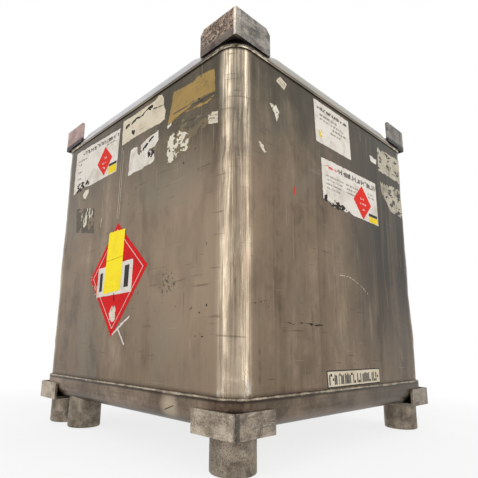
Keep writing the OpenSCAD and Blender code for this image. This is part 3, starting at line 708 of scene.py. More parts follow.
@dataclass(frozen=True)
class WallSteel:
    """Wall sheet gone brown-grey with handling: clouds, streaks, runs, scratches and nicks, with
    painted light and shade.

    Attributes:
        sizes: The tank's sizes, which place the corners, the lap and the lip.
        dark: Colour of stains.
        middle: Colour of most of the wall.
        light: Colour of bright streaks and scratches, and of the painted light on the front wall's
            lower part.
        cool: Colour of greener, cooler clouds.
        polished: Colour of the rubbed round corners.
        black: Colour of nicks and scratches, and of the painted shadow line under the lap.
        upper_shade: Colour of the painted shade on the upper wall, under the head.
        rear_shade_and_stain: Colour of the painted shade over the right wall's rear end, and of
            its stain runs.
    """

    sizes: TankSizes
    dark: Colour = (0.070, 0.050, 0.034)
    middle: Colour = (0.185, 0.135, 0.092)
    light: Colour = (0.330, 0.250, 0.175)
    cool: Colour = (0.165, 0.152, 0.115)
    polished: Colour = (0.560, 0.470, 0.355)
    black: Colour = (0.016, 0.013, 0.010)
    upper_shade: Colour = (0.060, 0.053, 0.038)
    rear_shade_and_stain: Colour = (0.034, 0.028, 0.020)

    def make(self) -> Material:
        """Builds the material.

        Returns:
            The wall's material.
        """
        g = Graph("worn_wall_steel")
        x, y, z = g.axes()
        brush = g.cloud((250, 250, 3.0), detail=3, rough=0.7)
        streak = g.cloud((20, 20, 1.5), detail=4, rough=0.55, twist=0.3)
        broad = g.cloud((7, 7, 2.6), detail=5, rough=0.55, twist=0.6, shift=(0, 2, 5))
        cloud = g.cloud((3.4, 3.4, 2.8), detail=5, rough=0.55, twist=0.9, shift=(1, 4, 0))
        mottle = g.cloud((34, 34, 26), detail=5, rough=0.62, twist=0.6, shift=(7, 2, 5))
        tone = g.weigh((cloud, 0.34), (broad, 0.26), (streak, 0.18), (brush, 0.1), (mottle, 0.12))
        g.colour = g.mix(g.band(tone, 0.37, 0.51), self.dark, self.middle)
        g.coat(g.band(tone, 0.5, 0.64, 0.0, 0.85), self.light)
        chill = g.cloud((3.6, 3.6, 3.0), detail=4, twist=0.6, shift=(4, 8, 2))
        cold = g.most(g.band(chill, 0.5, 0.66, 0.0, 0.45), self._spot(g, x, y, z))
        g.coat(cold, self.cool)
        # Painted light on the front wall, strongest low down toward the near corner.
        lit = g.band(x, 0.02, 0.44, 0.0, 0.5) * g.band(y, -0.4, -0.52)
        g.coat(lit * g.band(z, 0.95, 0.6), self.light)
        g.coat(g.band(broad, 0.57, 0.7) * 0.45, self.dark)
        # Painted shade over the right wall's rear end, with stain runs.
        g.coat(self._shade(g, x, y, z), self.rear_shade_and_stain)
        # Painted shade on the upper wall, deepening toward the head.
        high = g.band(z, self.sizes.lap_z - 0.42, self.sizes.lap_z - 0.04, 0.0, 0.94)
        g.coat(high * g.band(tone, 0.62, 0.44, 0.55, 1.0), self.upper_shade)
        corner = self._corner(g, x, y)
        thread = g.cloud((120, 120, 2.4), detail=3, rough=0.6, shift=(3, 1, 4))
        rubbed = corner * g.band(tone, 0.4, 0.56, 0.3, 0.95)
        rubbed = rubbed * g.band(thread, 0.42, 0.56, 0.4, 1.0)
        g.coat(rubbed, self.polished)
        # Painted glints: pale specks low on the round corners, over the crumpled sheet.
        foot = corner * g.band(z, 0.235, 0.19) * g.band(mottle, 0.52, 0.58)
        g.coat(foot * 0.8, (0.72, 0.68, 0.6))
        self._marks(g, z)
        rough = g.weigh((cloud, 0.16), (streak, 0.1), (mottle, 0.08), (rubbed, -0.13))
        rough = rough + 0.2
        crumple = corner * g.band(z, 0.265, 0.215) * mottle
        height = g.weigh((brush, 0.18), (streak, 0.5), (broad, 0.9), (mottle, 0.22),
                         (thread * corner, 2.2), (crumple, 3.0))
        return g.finish(rough, height, depth=1.3 * MM)

    def _corner(self, g: Graph, x: Value, y: Value) -> Value:
        """Rises from 0 to 1 from the flat walls to the round corners."""
        inner = self.sizes.half - self.sizes.corner_r
        across = g.least(abs(x), abs(y))
        return g.band(across, inner - 10 * MM, inner + 22 * MM)

    def _spot(self, g: Graph, x: Value, y: Value, z: Value) -> Value:
        """A cooler, paler place on the upper front wall."""
        across = (x - 0.24) * 0.9
        upward = (z - 0.8) * 1.6
        away = g.away(across, upward)
        return g.band(away, 0.24, 0.06, 0.0, 0.5) * g.band(y, -0.4, -0.52)

    def _shade(self, g: Graph, x: Value, y: Value, z: Value) -> Value:
        """Painted shade over the right wall's rear end, broken by dark stain runs, and a few thin
        stain runs elsewhere.
        """
        run = g.cloud((3, 30, 1.1), detail=5, rough=0.6, twist=0.25, shift=(2, 2, 2))
        rearward = g.band(y, -0.12, 0.3) * g.band(z, 0.16, 0.62, 0.2, 1.0)
        runs = g.band(run + rearward * 0.14, 0.47, 0.62)
        rear = rearward * (runs * 0.42 + 0.54)
        rear = rear * g.band(x, 0.45, 0.53)
        return g.most(rear, g.band(run, 0.6, 0.7) * 0.22)

    def _marks(self, g: Graph, z: Value) -> None:
        """Adds scratches, nicks and the painted shadow line under the lap."""
        lines = (
            ((3, 3, 150), (0, 0, 0), (0.22, 0.17, 0), (9, 2, 1), self.light, 0.32, 0.67),
            ((4, 4, 170), (3, 3, 3), (-0.07, 0.06, 0), (2, 5, 8), self.black, 0.40, 0.67),
            ((7, 7, 120), (8, 1, 4), (-0.16, -0.13, 0), (7, 7, 2), self.dark, 0.42, 0.64),
            ((150, 150, 6.5), (5, 5, 9), (0, 0, 0), (6, 1, 4), self.black, 0.65, 0.68),
            ((180, 180, 5.0), (1, 6, 2), (0, 0, 0), (1, 1, 7), self.polished, 0.28, 0.68),
            ((60, 60, 3.0), (4, 0, 6), (0, 0, 0), (3, 8, 2), self.dark, 0.45, 0.64),
            ((120, 120, 1.3), (7, 7, 1), (0, 0, 0), (8, 4, 4), self.light, 0.35, 0.62),
        )
        for scale, start, turn, shift, tint, share, level in lines:
            line = g.cloud(scale, detail=1.5, shift=start, turn=turn)
            area = g.cloud((9, 9, 9), detail=3, shift=shift)
            seen = g.band(line, level, level + 0.06) * g.band(area, 0.53, 0.6)
            g.coat(seen * share, tint)
        for scale, shift, size in (((17, 17, 11), (0.4, 0.1, 0.3), 0.075),
                                   ((38, 38, 26), (0.9, 0.7, 0.2), 0.10)):
            nick = g.spots(scale, shift, 5.0, 0.35)
            pick = g.cloud((6, 6, 6), detail=3, shift=(2, 7, 3))
            nicks = g.band(nick, size, size * 0.5) * g.band(pick, 0.54, 0.6)
            g.coat(nicks * 0.8, self.black)
        lap = self.sizes.lap_z
        # Painted shadow line on the wall under the head's skirt.
        shadow_line = g.band(z, lap - 9 * MM, lap - 3 * MM)
        g.coat(shadow_line * 0.65, self.black)
        low = g.band(z, self.sizes.lip_z + 18 * MM, self.sizes.lip_z + 5 * MM)
        g.coat(low * 0.6, self.dark)


@dataclass(frozen=True)
class MetalFinish:
    """A general metal finish: mottled, with optional brushing, pits, specks and a dirty tint.

    Attributes:
        name: Name of the material.
        dark: Colour of its darker patches.
        light: Colour of its lighter patches.
        patch: Patches per metre.
        grain: Grains per metre along X, Y and Z.
        rough: Least roughness.
        uneven: How much the roughness grows on dull patches.
        pits: Share of the surface that is pitted, 0 to 1.
        pit_size: Pits per metre.
        relief: Depth of the relief.
    """

    name: str
    dark: Colour
    light: Colour
    patch: float = 14.0
    grain: Triple = (260.0, 260.0, 260.0)
    rough: float = 0.30
    uneven: float = 0.2
    pits: float = 0.0
    pit_size: float = 320.0
    relief: float = 0.4 * MM

    def make(self) -> Material:
        """Builds the material.

        Returns:
            The metal's material.
        """
        g = Graph(self.name)
        patch = g.cloud((self.patch,) * 3, detail=6, rough=0.62, twist=0.4)
        grain = g.cloud(self.grain, detail=2)
        tone = g.weigh((patch, 0.72), (grain, 0.28))
        g.colour = g.mix(g.band(tone, 0.36, 0.66), self.dark, self.light)
        height = g.weigh((patch, 0.6), (grain, 0.4))
        if self.pits > 0:
            pit = g.spots((self.pit_size,) * 3)
            where = g.cloud((self.patch * 2.2,) * 3, detail=3, shift=(5, 1, 8))
            spread = self.pits * 0.3
            pitted = g.band(pit, 0.36, 0.18) * g.band(where, 0.62 - spread, 0.7 - spread)
            g.coat(pitted * 0.85, darker(self.dark, 0.16))
            height = g.weigh((height, 1.0), (pitted, -0.8))
        rough = patch * self.uneven + self.rough
        return g.finish(rough, height, depth=self.relief)


@dataclass(frozen=True)
class HeadSteel:
    """The head's sheet: dull, with painted shade, at the lap, and pale and satin, with painted
    light, over its round edge.

    Attributes:
        sizes: The tank's sizes, which place the lap.
        reach: Half the length of the head's side that stays clear of the stacking lugs.
        roll: Colour of the painted shade just over the lap.
        front: Colour of the painted light along the front edge.
        side: Colour of the painted light along the other edges.
    """

    sizes: TankSizes
    reach: float = 0.392
    roll: Colour = (0.270, 0.220, 0.160)
    front: Colour = (0.565, 0.555, 0.575)
    side: Colour = (0.405, 0.388, 0.342)

    def make(self) -> Material:
        """Builds the material.

        Returns:
            The head's material.
        """
        g = Graph("satin_head_steel")
        x, y, z = g.axes()
        lap = self.sizes.lap_z
        patch = g.cloud((5, 5, 9), detail=5, rough=0.55, twist=0.5)
        fine = g.cloud((46, 46, 120), detail=4, rough=0.6)
        tone = g.weigh((patch, 0.6), (fine, 0.4))
        # Painted light over the round edge, palest along the front, falling to painted shade just
        # over the lap.
        pale = g.mix(g.band(y, -0.47, -0.515), self.side, self.front)
        pale = g.mix(g.band(tone, 0.36, 0.60, 0.32, 0.0), pale, (0.24, 0.23, 0.21))
        roll = g.mix(g.band(patch, 0.42, 0.58), darker(self.roll, 0.6), self.roll)
        g.colour = g.mix(g.band(z, lap + 3 * MM, lap + 15 * MM), roll, pale)
        across = g.least(abs(x), abs(y))
        corner = g.band(across, self.reach - 12 * MM, self.reach + 14 * MM)
        outward = g.most(abs(x), abs(y))
        edge = g.band(outward, self.sizes.half - 44 * MM, self.sizes.half - 24 * MM)
        # Painted highlight on the round edge at the corners, under the lugs.
        shine = g.mix(g.band(fine, 0.44, 0.60), roll, (0.66, 0.58, 0.44))
        g.coat(corner * edge * 0.8, shine)
        # Painted shade under the lugs, above a thin painted highlight at the lap.
        under = corner * edge * g.band(z, lap + 5 * MM, lap + 11 * MM)
        g.coat(under * 0.96, (0.012, 0.01, 0.01))
        rough = g.weigh((patch, 0.18), (under, 0.3)) + 0.2
        height = g.weigh((patch, 0.7), (fine, 0.3))
        return g.finish(rough, height, 0.35, 0.6 * MM)


@dataclass(frozen=True)
class LugSteel:
    """Bent plate of a lug: scuffed faces, a strip along the bend painted as a highlight on the
    upper lugs, and painted shade on the inside and along the lower edge.

    Attributes:
        name: Name of the material.
        outer: Distance of the lug's outer faces from the middle of the tank.
        front: Darker and lighter colour of the leg that faces the front or the rear.
        side: Darker and lighter colour of the leg that faces a side.
        bend: Colour of the strip along the bend: a painted highlight on the upper lugs, a dark
            line on the lower ones.
        scuff: Colour of the scuffs on the front leg.
        plate: Thickness of the plate.
        blush: Tint of the front-left lug, and its share.
        foot: Height of the lug's lower edge.
        scuffed: How much of the front leg the scuffs cover, 0 to 1.
        shade: How dark the lower edge is, 0 to 1.
        second: Share of the bend's colour that lies beside it on the side leg, 0 to 1.
    """

    name: str
    outer: float
    front: tuple[Colour, Colour]
    side: tuple[Colour, Colour]
    bend: Colour
    scuff: Colour
    plate: float = 9.5 * MM
    blush: tuple[Colour, float] = ((0.45, 0.30, 0.26), 0.0)
    foot: float = 1.154
    scuffed: float = 0.85
    shade: float = 0.9
    second: float = 0.22

    def make(self) -> Material:
        """Builds the material.

        Returns:
            The lug's material.
        """
        g = Graph(self.name)
        x, y, z = g.axes()
        wide, deep = abs(x), abs(y)
        patch = g.cloud((20, 20, 20), detail=6, rough=0.62, twist=0.5)
        speck = g.cloud((210, 210, 210), detail=4, rough=0.7)
        drag = g.cloud((18, 18, 190), detail=3, turn=(0.35, 0.3, 0))
        tone = g.weigh((patch, 0.52), (speck, 0.34), (drag, 0.14))
        share = g.band(tone, 0.41, 0.60)
        sideways = g.band(wide - deep, -2 * MM, 2 * MM)
        facing = 1.0 - sideways
        g.colour = g.mix(sideways, g.mix(share, *self.front), g.mix(share, *self.side))
        scuffs = g.cloud((84, 84, 125), detail=6, rough=0.75, twist=1.2, shift=(3, 1, 2),
                         turn=(0, 0.5, 0))
        upper = g.band(z, self.foot + 20 * MM, self.foot + 34 * MM)
        near = g.band(x, 0.1, 0.2) * g.band(y, -0.1, -0.2)
        scuffed = facing * upper * (near * 0.62 + 0.38)
        scuffed = scuffed * self.scuffed
        g.coat(g.band(scuffs, 0.49, 0.58) * scuffed, self.scuff)
        g.coat(g.band(scuffs, 0.485, 0.45) * scuffed, (0.03, 0.024, 0.02))
        slanted = g.cloud((30, 30, 260), detail=2, turn=(0.7, 0.0, 0))
        g.coat(g.band(slanted, 0.6, 0.68, 0.0, 0.45) * sideways, (0.5, 0.47, 0.42))
        left = g.band(x, 0.2, -0.2) * g.band(y, 0.2, -0.2)
        rosy = g.mix(share, darker(self.blush[0], 0.5), self.blush[0])
        g.coat(left * self.blush[1], rosy)
        inward = g.least(wide, deep)
        outward = g.most(wide, deep)
        # Strips of the bend's colour along the bend and beside it on the side leg: painted
        # highlights on the upper lugs, dark lines on the lower ones.
        bend = g.band(inward, self.outer - 11 * MM, self.outer - 7 * MM)
        bend = bend * g.band(speck, 0.32, 0.5, 0.45, 1.0) * (1.0 - self.second)
        second = g.band(inward, self.outer - 24 * MM, self.outer - 17 * MM)
        second = second * g.band(speck, 0.36, 0.5, 0.3, 1.0)
        bend = g.most(bend * facing, second * sideways * self.second)
        g.coat(bend, self.bend)
        # Painted shade along the lower edge, weaker on the near lug.
        low = g.band(z, self.foot + 24 * MM, self.foot + 12 * MM) * (1.0 - near * 0.75)
        g.coat(low * self.shade, (0.016, 0.014, 0.013))
        pit = g.spots((300, 300, 300), rate=4.0, amount=0.4)
        where = g.cloud((40, 40, 40), detail=3, shift=(5, 1, 8))
        pitted = g.band(pit, 0.34, 0.18) * g.band(where, 0.5, 0.58)
        g.coat(pitted * 0.8, (0.018, 0.015, 0.013))
        # Painted shade on the inner faces.
        face = self.outer - self.plate
        inside = g.band(outward, face + 2 * MM, face + 0.5 * MM)
        g.coat(inside * 0.72, (0.04, 0.034, 0.029))
        rough = g.weigh((patch, 0.25), (inside, 0.3), (bend, -0.08)) + 0.3
        height = g.weigh((patch, 0.5), (speck, 0.5), (pitted, -0.7))
        return g.finish(rough, height)


@dataclass(frozen=True)
class PanSteel:
    """The pan's sheet: browner than the walls, with a painted shadow line under the lip, painted
    shade on its belly and right side, and painted light and shade at the front dent.

    Attributes:
        sizes: The tank's sizes, which place the lip.
        crease_at: Place across and height of the crease in the front dent.
    """

    sizes: TankSizes
    dark: Colour = (0.120, 0.088, 0.064)
    light: Colour = (0.300, 0.230, 0.168)
    crease_at: Point2 = (0.297, 0.137)

    def make(self) -> Material:
        """Builds the material.

        Returns:
            The pan's material.
        """
        g = Graph("worn_pan_steel")
        x, y, z = g.axes()
        patch = g.cloud((6, 6, 9), detail=5, rough=0.55, twist=0.6)
        fine = g.cloud((90, 90, 60), detail=4)
        scrape = g.cloud((5, 5, 120), detail=3, shift=(2, 3, 1))
        tone = g.weigh((patch, 0.66), (fine, 0.18), (scrape, 0.16))
        g.colour = g.mix(g.band(tone, 0.36, 0.64), self.dark, self.light)
        front = g.band(y, -0.50, -0.53)
        # Painted highlight round the front dent.
        across, upward = (x - self.crease_at[0], z - self.crease_at[1])
        near = g.away(across, upward)
        shine = g.band(near, 50 * MM, 12 * MM, 0.0, 0.75) * front
        g.coat(shine, (0.46, 0.38, 0.28))
        # Painted shade along the crease in the dent.
        off = abs(upward - across * 0.35)
        crease = g.band(off, 1.8 * MM, 0.8 * MM) * g.band(abs(across), 24 * MM, 17 * MM)
        g.coat(crease * front, (0.03, 0.022, 0.016))
        corner = g.least(x, y * -1.0)
        rust = g.band(corner, 0.42, 0.49) * g.band(z, 0.136, 0.148)
        rust = rust * g.band(fine, 0.4, 0.56, 0.35, 0.85)
        g.coat(rust, (0.08, 0.048, 0.034))
        # Painted shadow line under the lip.
        shadow_line = g.band(z, self.sizes.lip_z - 10 * MM, self.sizes.lip_z - 4 * MM)
        g.coat(shadow_line * 0.75, (0.02, 0.016, 0.012))
        # Painted shade on the belly as it turns under, and toward the rear of the right side.
        belly = g.band(z, 0.128, 0.104, 0.0, 0.7)
        rear = g.band(x, 0.46, 0.5) * g.band(y, -0.3, 0.42, 0.25, 0.75)
        g.coat(g.most(belly, rear), (0.052, 0.041, 0.031))
        pit = g.spots((170, 170, 170), rate=4.0, amount=0.4)
        where = g.cloud((11, 11, 11), detail=2, shift=(1, 1, 4))
        pitted = g.band(pit, 0.2, 0.08) * g.band(where, 0.54, 0.6)
        g.coat(pitted * 0.7, (0.018, 0.015, 0.012))
        rough = patch * 0.22 + 0.25
        height = g.weigh((patch, 0.9), (fine, 0.25), (pitted, -0.3), (crease, -0.5))
        return g.finish(rough, height, 0.45)


@dataclass(frozen=True)
class Plastic:
    """A moulded or dipped plastic, or a rubber, with fine grain and handling dirt.

    Attributes:
        name: Name of the material.
        colour: Its colour.
        dirt: Colour of the dirt on it.
        rough: Roughness.
    """

    name: str
    colour: Colour
    dirt: Colour = (0.05, 0.045, 0.04)
    rough: float = 0.45

    def make(self) -> Material:
        """Builds the material.

        Returns:
            The plastic's material.
        """
        g = Graph(self.name)
        grain = g.cloud((900, 900, 900), detail=2)
        dirt = g.cloud((38, 38, 38), detail=5, rough=0.65)
        g.colour = g.mix(g.band(dirt, 0.52, 0.72, 0.0, 0.55), self.colour, self.dirt)
        rough = dirt * 0.2 + self.rough
        return g.finish(rough, grain, 0.25, 0.2 * MM, metal=0.0)


@dataclass(frozen=True)
class FilmFinish:
    """Printed film or paper stuck on the wall, stained and worn through to the steel.

    Attributes:
        name: Name of the material.
        colour: Colour of the film.
        stain: Colour of its stains.
        worn: Share that is worn through, 0 to 1.
        flake: Size of the worn places, per metre.
        under: Colour of what shows where it is worn through.
        rough: Roughness.
        shift: Moves the pattern, so that two films of a kind differ.
    """

    name: str
    colour: Colour
    stain: Colour
    worn: float = 0.1
    flake: float = 26.0
    under: Colour = (0.085, 0.070, 0.052)
    rough: float = 0.5
    shift: float = 0.0

    def make(self) -> Material:
        """Builds the material.

        Returns:
            The film's material.
        """
        g = Graph(self.name)
        move = (self.shift,) * 3
        stain = g.cloud((15, 15, 15), detail=5, rough=0.6, twist=0.5, shift=move)
        wipe = g.cloud((8, 8, 60), detail=3, shift=move)
        g.colour = g.mix(g.band(stain, 0.44, 0.72, 0.0, 0.75), self.colour, self.stain)
        g.coat(g.band(wipe, 0.55, 0.8, 0.0, 0.35), self.stain)
        flake = g.cloud((self.flake,) * 3, detail=7, rough=0.72, twist=0.9, shift=move)
        edge = 0.80 - self.worn * 0.42
        bare = g.band(flake, edge, edge + 0.02)
        g.coat(bare, self.under)
        rough = self.rough - bare * 0.1
        height = g.weigh((stain, 0.6), (bare, -0.5))
        return g.finish(rough, height, 0.3, 0.4 * MM, metal=bare * 0.8, specular=0.1)


@dataclass(frozen=True)
class Finishes:
    """Every material of the container, each made once.

    Attributes:
        wall: The walls.
        pan: The pan.
        head: The bright head.
        top_lug: Scuffed upper lugs.
        low_lug: Scuffed lower lugs.
        lug_edge: Bright worn edges of the lugs.
        foot: Pitted feet.
        plate: Plates between feet and pan, and the recess.
        weld: Weld beads.
        dull_weld: Older, specked weld beads.
        fitting: Satin fittings.
        shaft: Turned pins, stems and bolts.
        seal: Gaskets.
        grip: The lever's sleeve.
        cap: The dust cap.
    """

    wall: Material
    pan: Material
    head: Material
    top_lug: Material
    low_lug: Material
    lug_edge: Material
    foot: Material
    plate: Material
    weld: Material
    dull_weld: Material
    fitting: Material
    shaft: Material
    seal: Material
    grip: Material
    cap: Material

    @classmethod
    def build(cls, sizes: TankSizes) -> Finishes:
        """Makes every material.

        Args:
            sizes: The tank's sizes.

        Returns:
            The set of materials.
        """
        looks = {
            "wall": WallSteel(sizes),
            "pan": PanSteel(sizes),
            "head": HeadSteel(sizes),
            "top_lug": LugSteel("scuffed_top_lug", 0.539,
                                ((0.070, 0.054, 0.044), (0.250, 0.200, 0.165)),
                                ((0.095, 0.084, 0.074), (0.300, 0.274, 0.242)), (0.88, 0.80, 0.66),
                                (0.560, 0.395, 0.285), blush=((0.50, 0.34, 0.31), 0.8)),
            "low_lug": LugSteel("scuffed_low_lug", 0.5515,
                                ((0.235, 0.192, 0.148), (0.560, 0.470, 0.370)),
                                ((0.150, 0.122, 0.094), (0.370, 0.308, 0.242)),
                                (0.040, 0.040, 0.038), (0.400, 0.325, 0.245), foot=0.090,
                                scuffed=0.3, shade=0.0, second=0.85),
            "lug_edge": MetalFinish("worn_edge_steel", (0.16, 0.14, 0.115), (0.52, 0.48, 0.42),
                                    patch=40, rough=0.28),
            "foot": MetalFinish("pitted_foot_steel", (0.130, 0.104, 0.080), (0.340, 0.285, 0.222),
                                patch=26, grain=(520, 520, 520), rough=0.40, uneven=0.2, pits=0.9,
                                pit_size=260, relief=1.2 * MM),
            "plate": MetalFinish("plate_steel", (0.105, 0.092, 0.077), (0.270, 0.242, 0.205),
                                 patch=9, grain=(150, 150, 30), rough=0.32, pits=0.2),
            "weld": MetalFinish("bright_weld", (0.22, 0.20, 0.17), (0.60, 0.56, 0.50), patch=70,
                                rough=0.26, relief=0.5 * MM),
            "dull_weld": MetalFinish("specked_weld", (0.150, 0.120, 0.090), (0.460, 0.390, 0.300),
                                     patch=30, rough=0.32, pits=0.35, pit_size=420),
            "fitting": MetalFinish("satin_fitting_steel", (0.37, 0.36, 0.335),
                                   (0.52, 0.505, 0.475), patch=7, grain=(400, 400, 400),
                                   rough=0.24),
            "shaft": MetalFinish("turned_steel", (0.20, 0.19, 0.18), (0.42, 0.41, 0.39), patch=60,
                                 rough=0.28),
            "seal": Plastic("white_seal", (0.72, 0.70, 0.64), dirt=(0.30, 0.27, 0.22)),
            "grip": Plastic("red_grip", (0.42, 0.028, 0.020), rough=0.35),
            "cap": Plastic("black_cap", (0.022, 0.022, 0.022), dirt=(0.10, 0.09, 0.08)),
        }
        return cls(**{name: look.make() for name, look in looks.items()})


# ---------- Tank ----------


def loft(name: str, rows: Sequence[Sequence[Vector]],
         skip: Callable[[int, int], bool] | None = None) -> Piece:
    """Joins closed rows of equally many points by quads.

    Args:
        name: The piece's name.
        rows: The rows, each a closed ring, from the lowest to the highest.
        skip: Tells, for a row and a place along it, whether that quad is left out.

    Returns:
        The open surface, facing outward when the rows run counter-clockwise and rise.
    """
    count = len(rows[0])
    faces = []
    for r in range(len(rows) - 1):
        for i in range(count):
            if skip is None or not skip(r, i):
                j = (i + 1) % count
                faces.append((r * count + i, r * count + j, (r + 1) * count + j,
                              (r + 1) * count + i))
    used = sorted({v for face in faces for v in face})
    number = {old: new for new, old in enumerate(used)}
    verts = [rows[v // count][v % count] for v in used]
    return new_object(name, verts, [[number[v] for v in face] for face in faces])


def spaced(low: float, high: float, step: float) -> list[float]:
    """Even heights from low to high, about a step apart, with both ends."""
    count = max(1, round((high - low) / step))
    return [low + (high - low) * i / count for i in range(count + 1)]


def cut_away(piece: Piece, tools: Sequence[Piece]) -> Piece:
    """Cuts closed tool shapes out of a closed piece and deletes them.

    Args:
        piece: The piece.
        tools: The shapes to take away.

    Returns:
        The cut piece, with a plain mesh.
    """
    for tool in tools:
        cut = piece.modifiers.new("cut", "BOOLEAN")
        cut.operation = "DIFFERENCE"
        cut.solver = "EXACT"
        cut.object = tool
    bake(piece)
    for tool in tools:
        bpy.data.objects.remove(tool)
    return piece


def rod(centre: Point2, radius: float, low: float, high: float) -> Piece:
    """An upright closed cylinder."""
    shape = bmesh.new()
    bmesh.ops.create_cone(shape, cap_ends=True, segments=64, radius1=radius, radius2=radius,
                          depth=high - low,
                          matrix=Matrix.Translation((*centre, (low + high) / 2)))
    return from_bmesh("rod", shape)


def block(low: Triple, high: Triple) -> Piece:
    """A closed box between two opposite corners."""
    middle = [(a + b) / 2 for a, b in zip(low, high)]
    size = [b - a for a, b in zip(low, high)]
    shape = bmesh.new()
    bmesh.ops.create_cube(shape, size=1.0,
                          matrix=Matrix.Translation(middle) @ Matrix.Diagonal((*size, 1.0)))
    return from_bmesh("block", shape)


@dataclass(frozen=True)
class TankShell:
    """The four walls in one sheet, slightly out of flat, open at the recess."""

    sizes: TankSizes
    outline: Outline
    wear: WallWear
    row: float = 12 * MM

    def build(self, finishes: Finishes) -> None:
        """Makes the walls.

        Args:
            finishes: The materials.
        """
        s = self.sizes
        heights = spaced(s.foot_z, s.recess_z, self.row)
        heights += spaced(s.recess_z, s.skirt_top, self.row)[1:]
        stations = self.outline.stations()
        rows = []
        for z in heights:
            rows.append([place.point(self.wear.outward(place.point(0, z)), z)
                         for place in stations])

        def in_recess(row: int, i: int) -> bool:
            """Whether the quad lies in the recess's opening."""
            here, there = stations[i], stations[(i + 1) % len(stations)]
            return (here.wall is Wall.LEFT and there.wall is Wall.LEFT
                    and abs(here.width + there.width) / 2 < s.recess_half
                    and heights[row + 1] < s.recess_z + DOUBLE)

        walls = loft("tank_walls", rows, in_recess)
        paint(walls, finishes.wall)
        smooth(thicken(walls, s.wall_t), 50)
        hand_over(walls, TANK, ("body_shell",))


@dataclass(frozen=True)
class TopHead:
    """The pressed head: a short skirt round the walls, a round edge and a nearly flat top.

    Attributes:
        sizes: The tank's sizes.
        outline: The tank's plan.
        collar_r: Radius of the manway's opening.
        fill_r: Radius of the fill port's opening.
        vent_r: Radius of the vent's opening.
        arc_steps: Steps round the edge.
        rings: Steps from the edge to the manway.
        wave: Height of the waves of the top.
        crown: How far the round edge swells up between the lugs.
        seat: Half the length of the side on which it swells.
        ease: Distance over which the swelling ends.
        cut: How far the ports' cuts reach above and below the top.
    """

    sizes: TankSizes
    outline: Outline
    collar_r: float = 233.5 * MM
    fill_r: float = 38 * MM
    vent_r: float = 26 * MM
    arc_steps: int = 9
    rings: int = 22
    wave: float = 0.7 * MM
    crown: float = 13 * MM
    seat: float = 0.385
    ease: float = 50 * MM
    cut: float = 20 * MM

    def build(self, finishes: Finishes) -> None:
        """Makes the head.

        Args:
            finishes: The materials.
        """
        s = self.sizes
        stations = self.outline.stations()
        bend_z = s.head_z - s.head_knuckle
        profile = [(s.skirt_out, s.lap_z), (s.skirt_out, (s.lap_z + bend_z) / 2)]
        for i in range(self.arc_steps + 1):
            turn = math.pi / 2 * i / self.arc_steps
            profile.append((s.skirt_out - s.head_knuckle * (1 - math.cos(turn)),
                            bend_z + s.head_knuckle * math.sin(turn)))
        rows = [[place.point(out, z + self._lift(place) * (z - s.lap_z) / (s.head_z - s.lap_z))
                 for place in stations] for out, z in profile]
        for ring in range(1, self.rings + 1):
            share = ring / self.rings
            rows.append([self._inward(point, share) for point in rows[len(profile) - 1]])
        head = thicken(loft("tank_head", rows), s.head_t)
        cut_away(head, [rod(at, r, s.head_z - self.cut, s.head_z + self.cut)
                        for at, r in ((s.fill_at, self.fill_r), (s.vent_at, self.vent_r))])
        paint(head, finishes.head)
        hand_over(smooth(head, 40), TANK, ("top_head",))

    def _lift(self, place: Station) -> float:
        """How far the round edge swells up: fully between the lugs, not at all under them."""
        clear = clamp((self.seat - abs(place.width)) / self.ease)
        return self.crown * clear * clear * (3 - 2 * clear)

    def _inward(self, point: Vector, share: float) -> Vector:
        """A point on the way from the round edge to the manway collar."""
        flat = Vector((point.x, point.y, 0))
        place = flat.lerp(flat.normalized() * self.collar_r, share)
        calm = math.sin(math.pi * share)
        rise = waves(place, 4, 0, 11) * self.wave * calm
        swell = (point.z - self.sizes.head_z) * (1 + math.cos(math.pi * min(1.0, share * 3))) / 2
        return Vector((place.x, place.y, self.sizes.head_z + rise + swell))


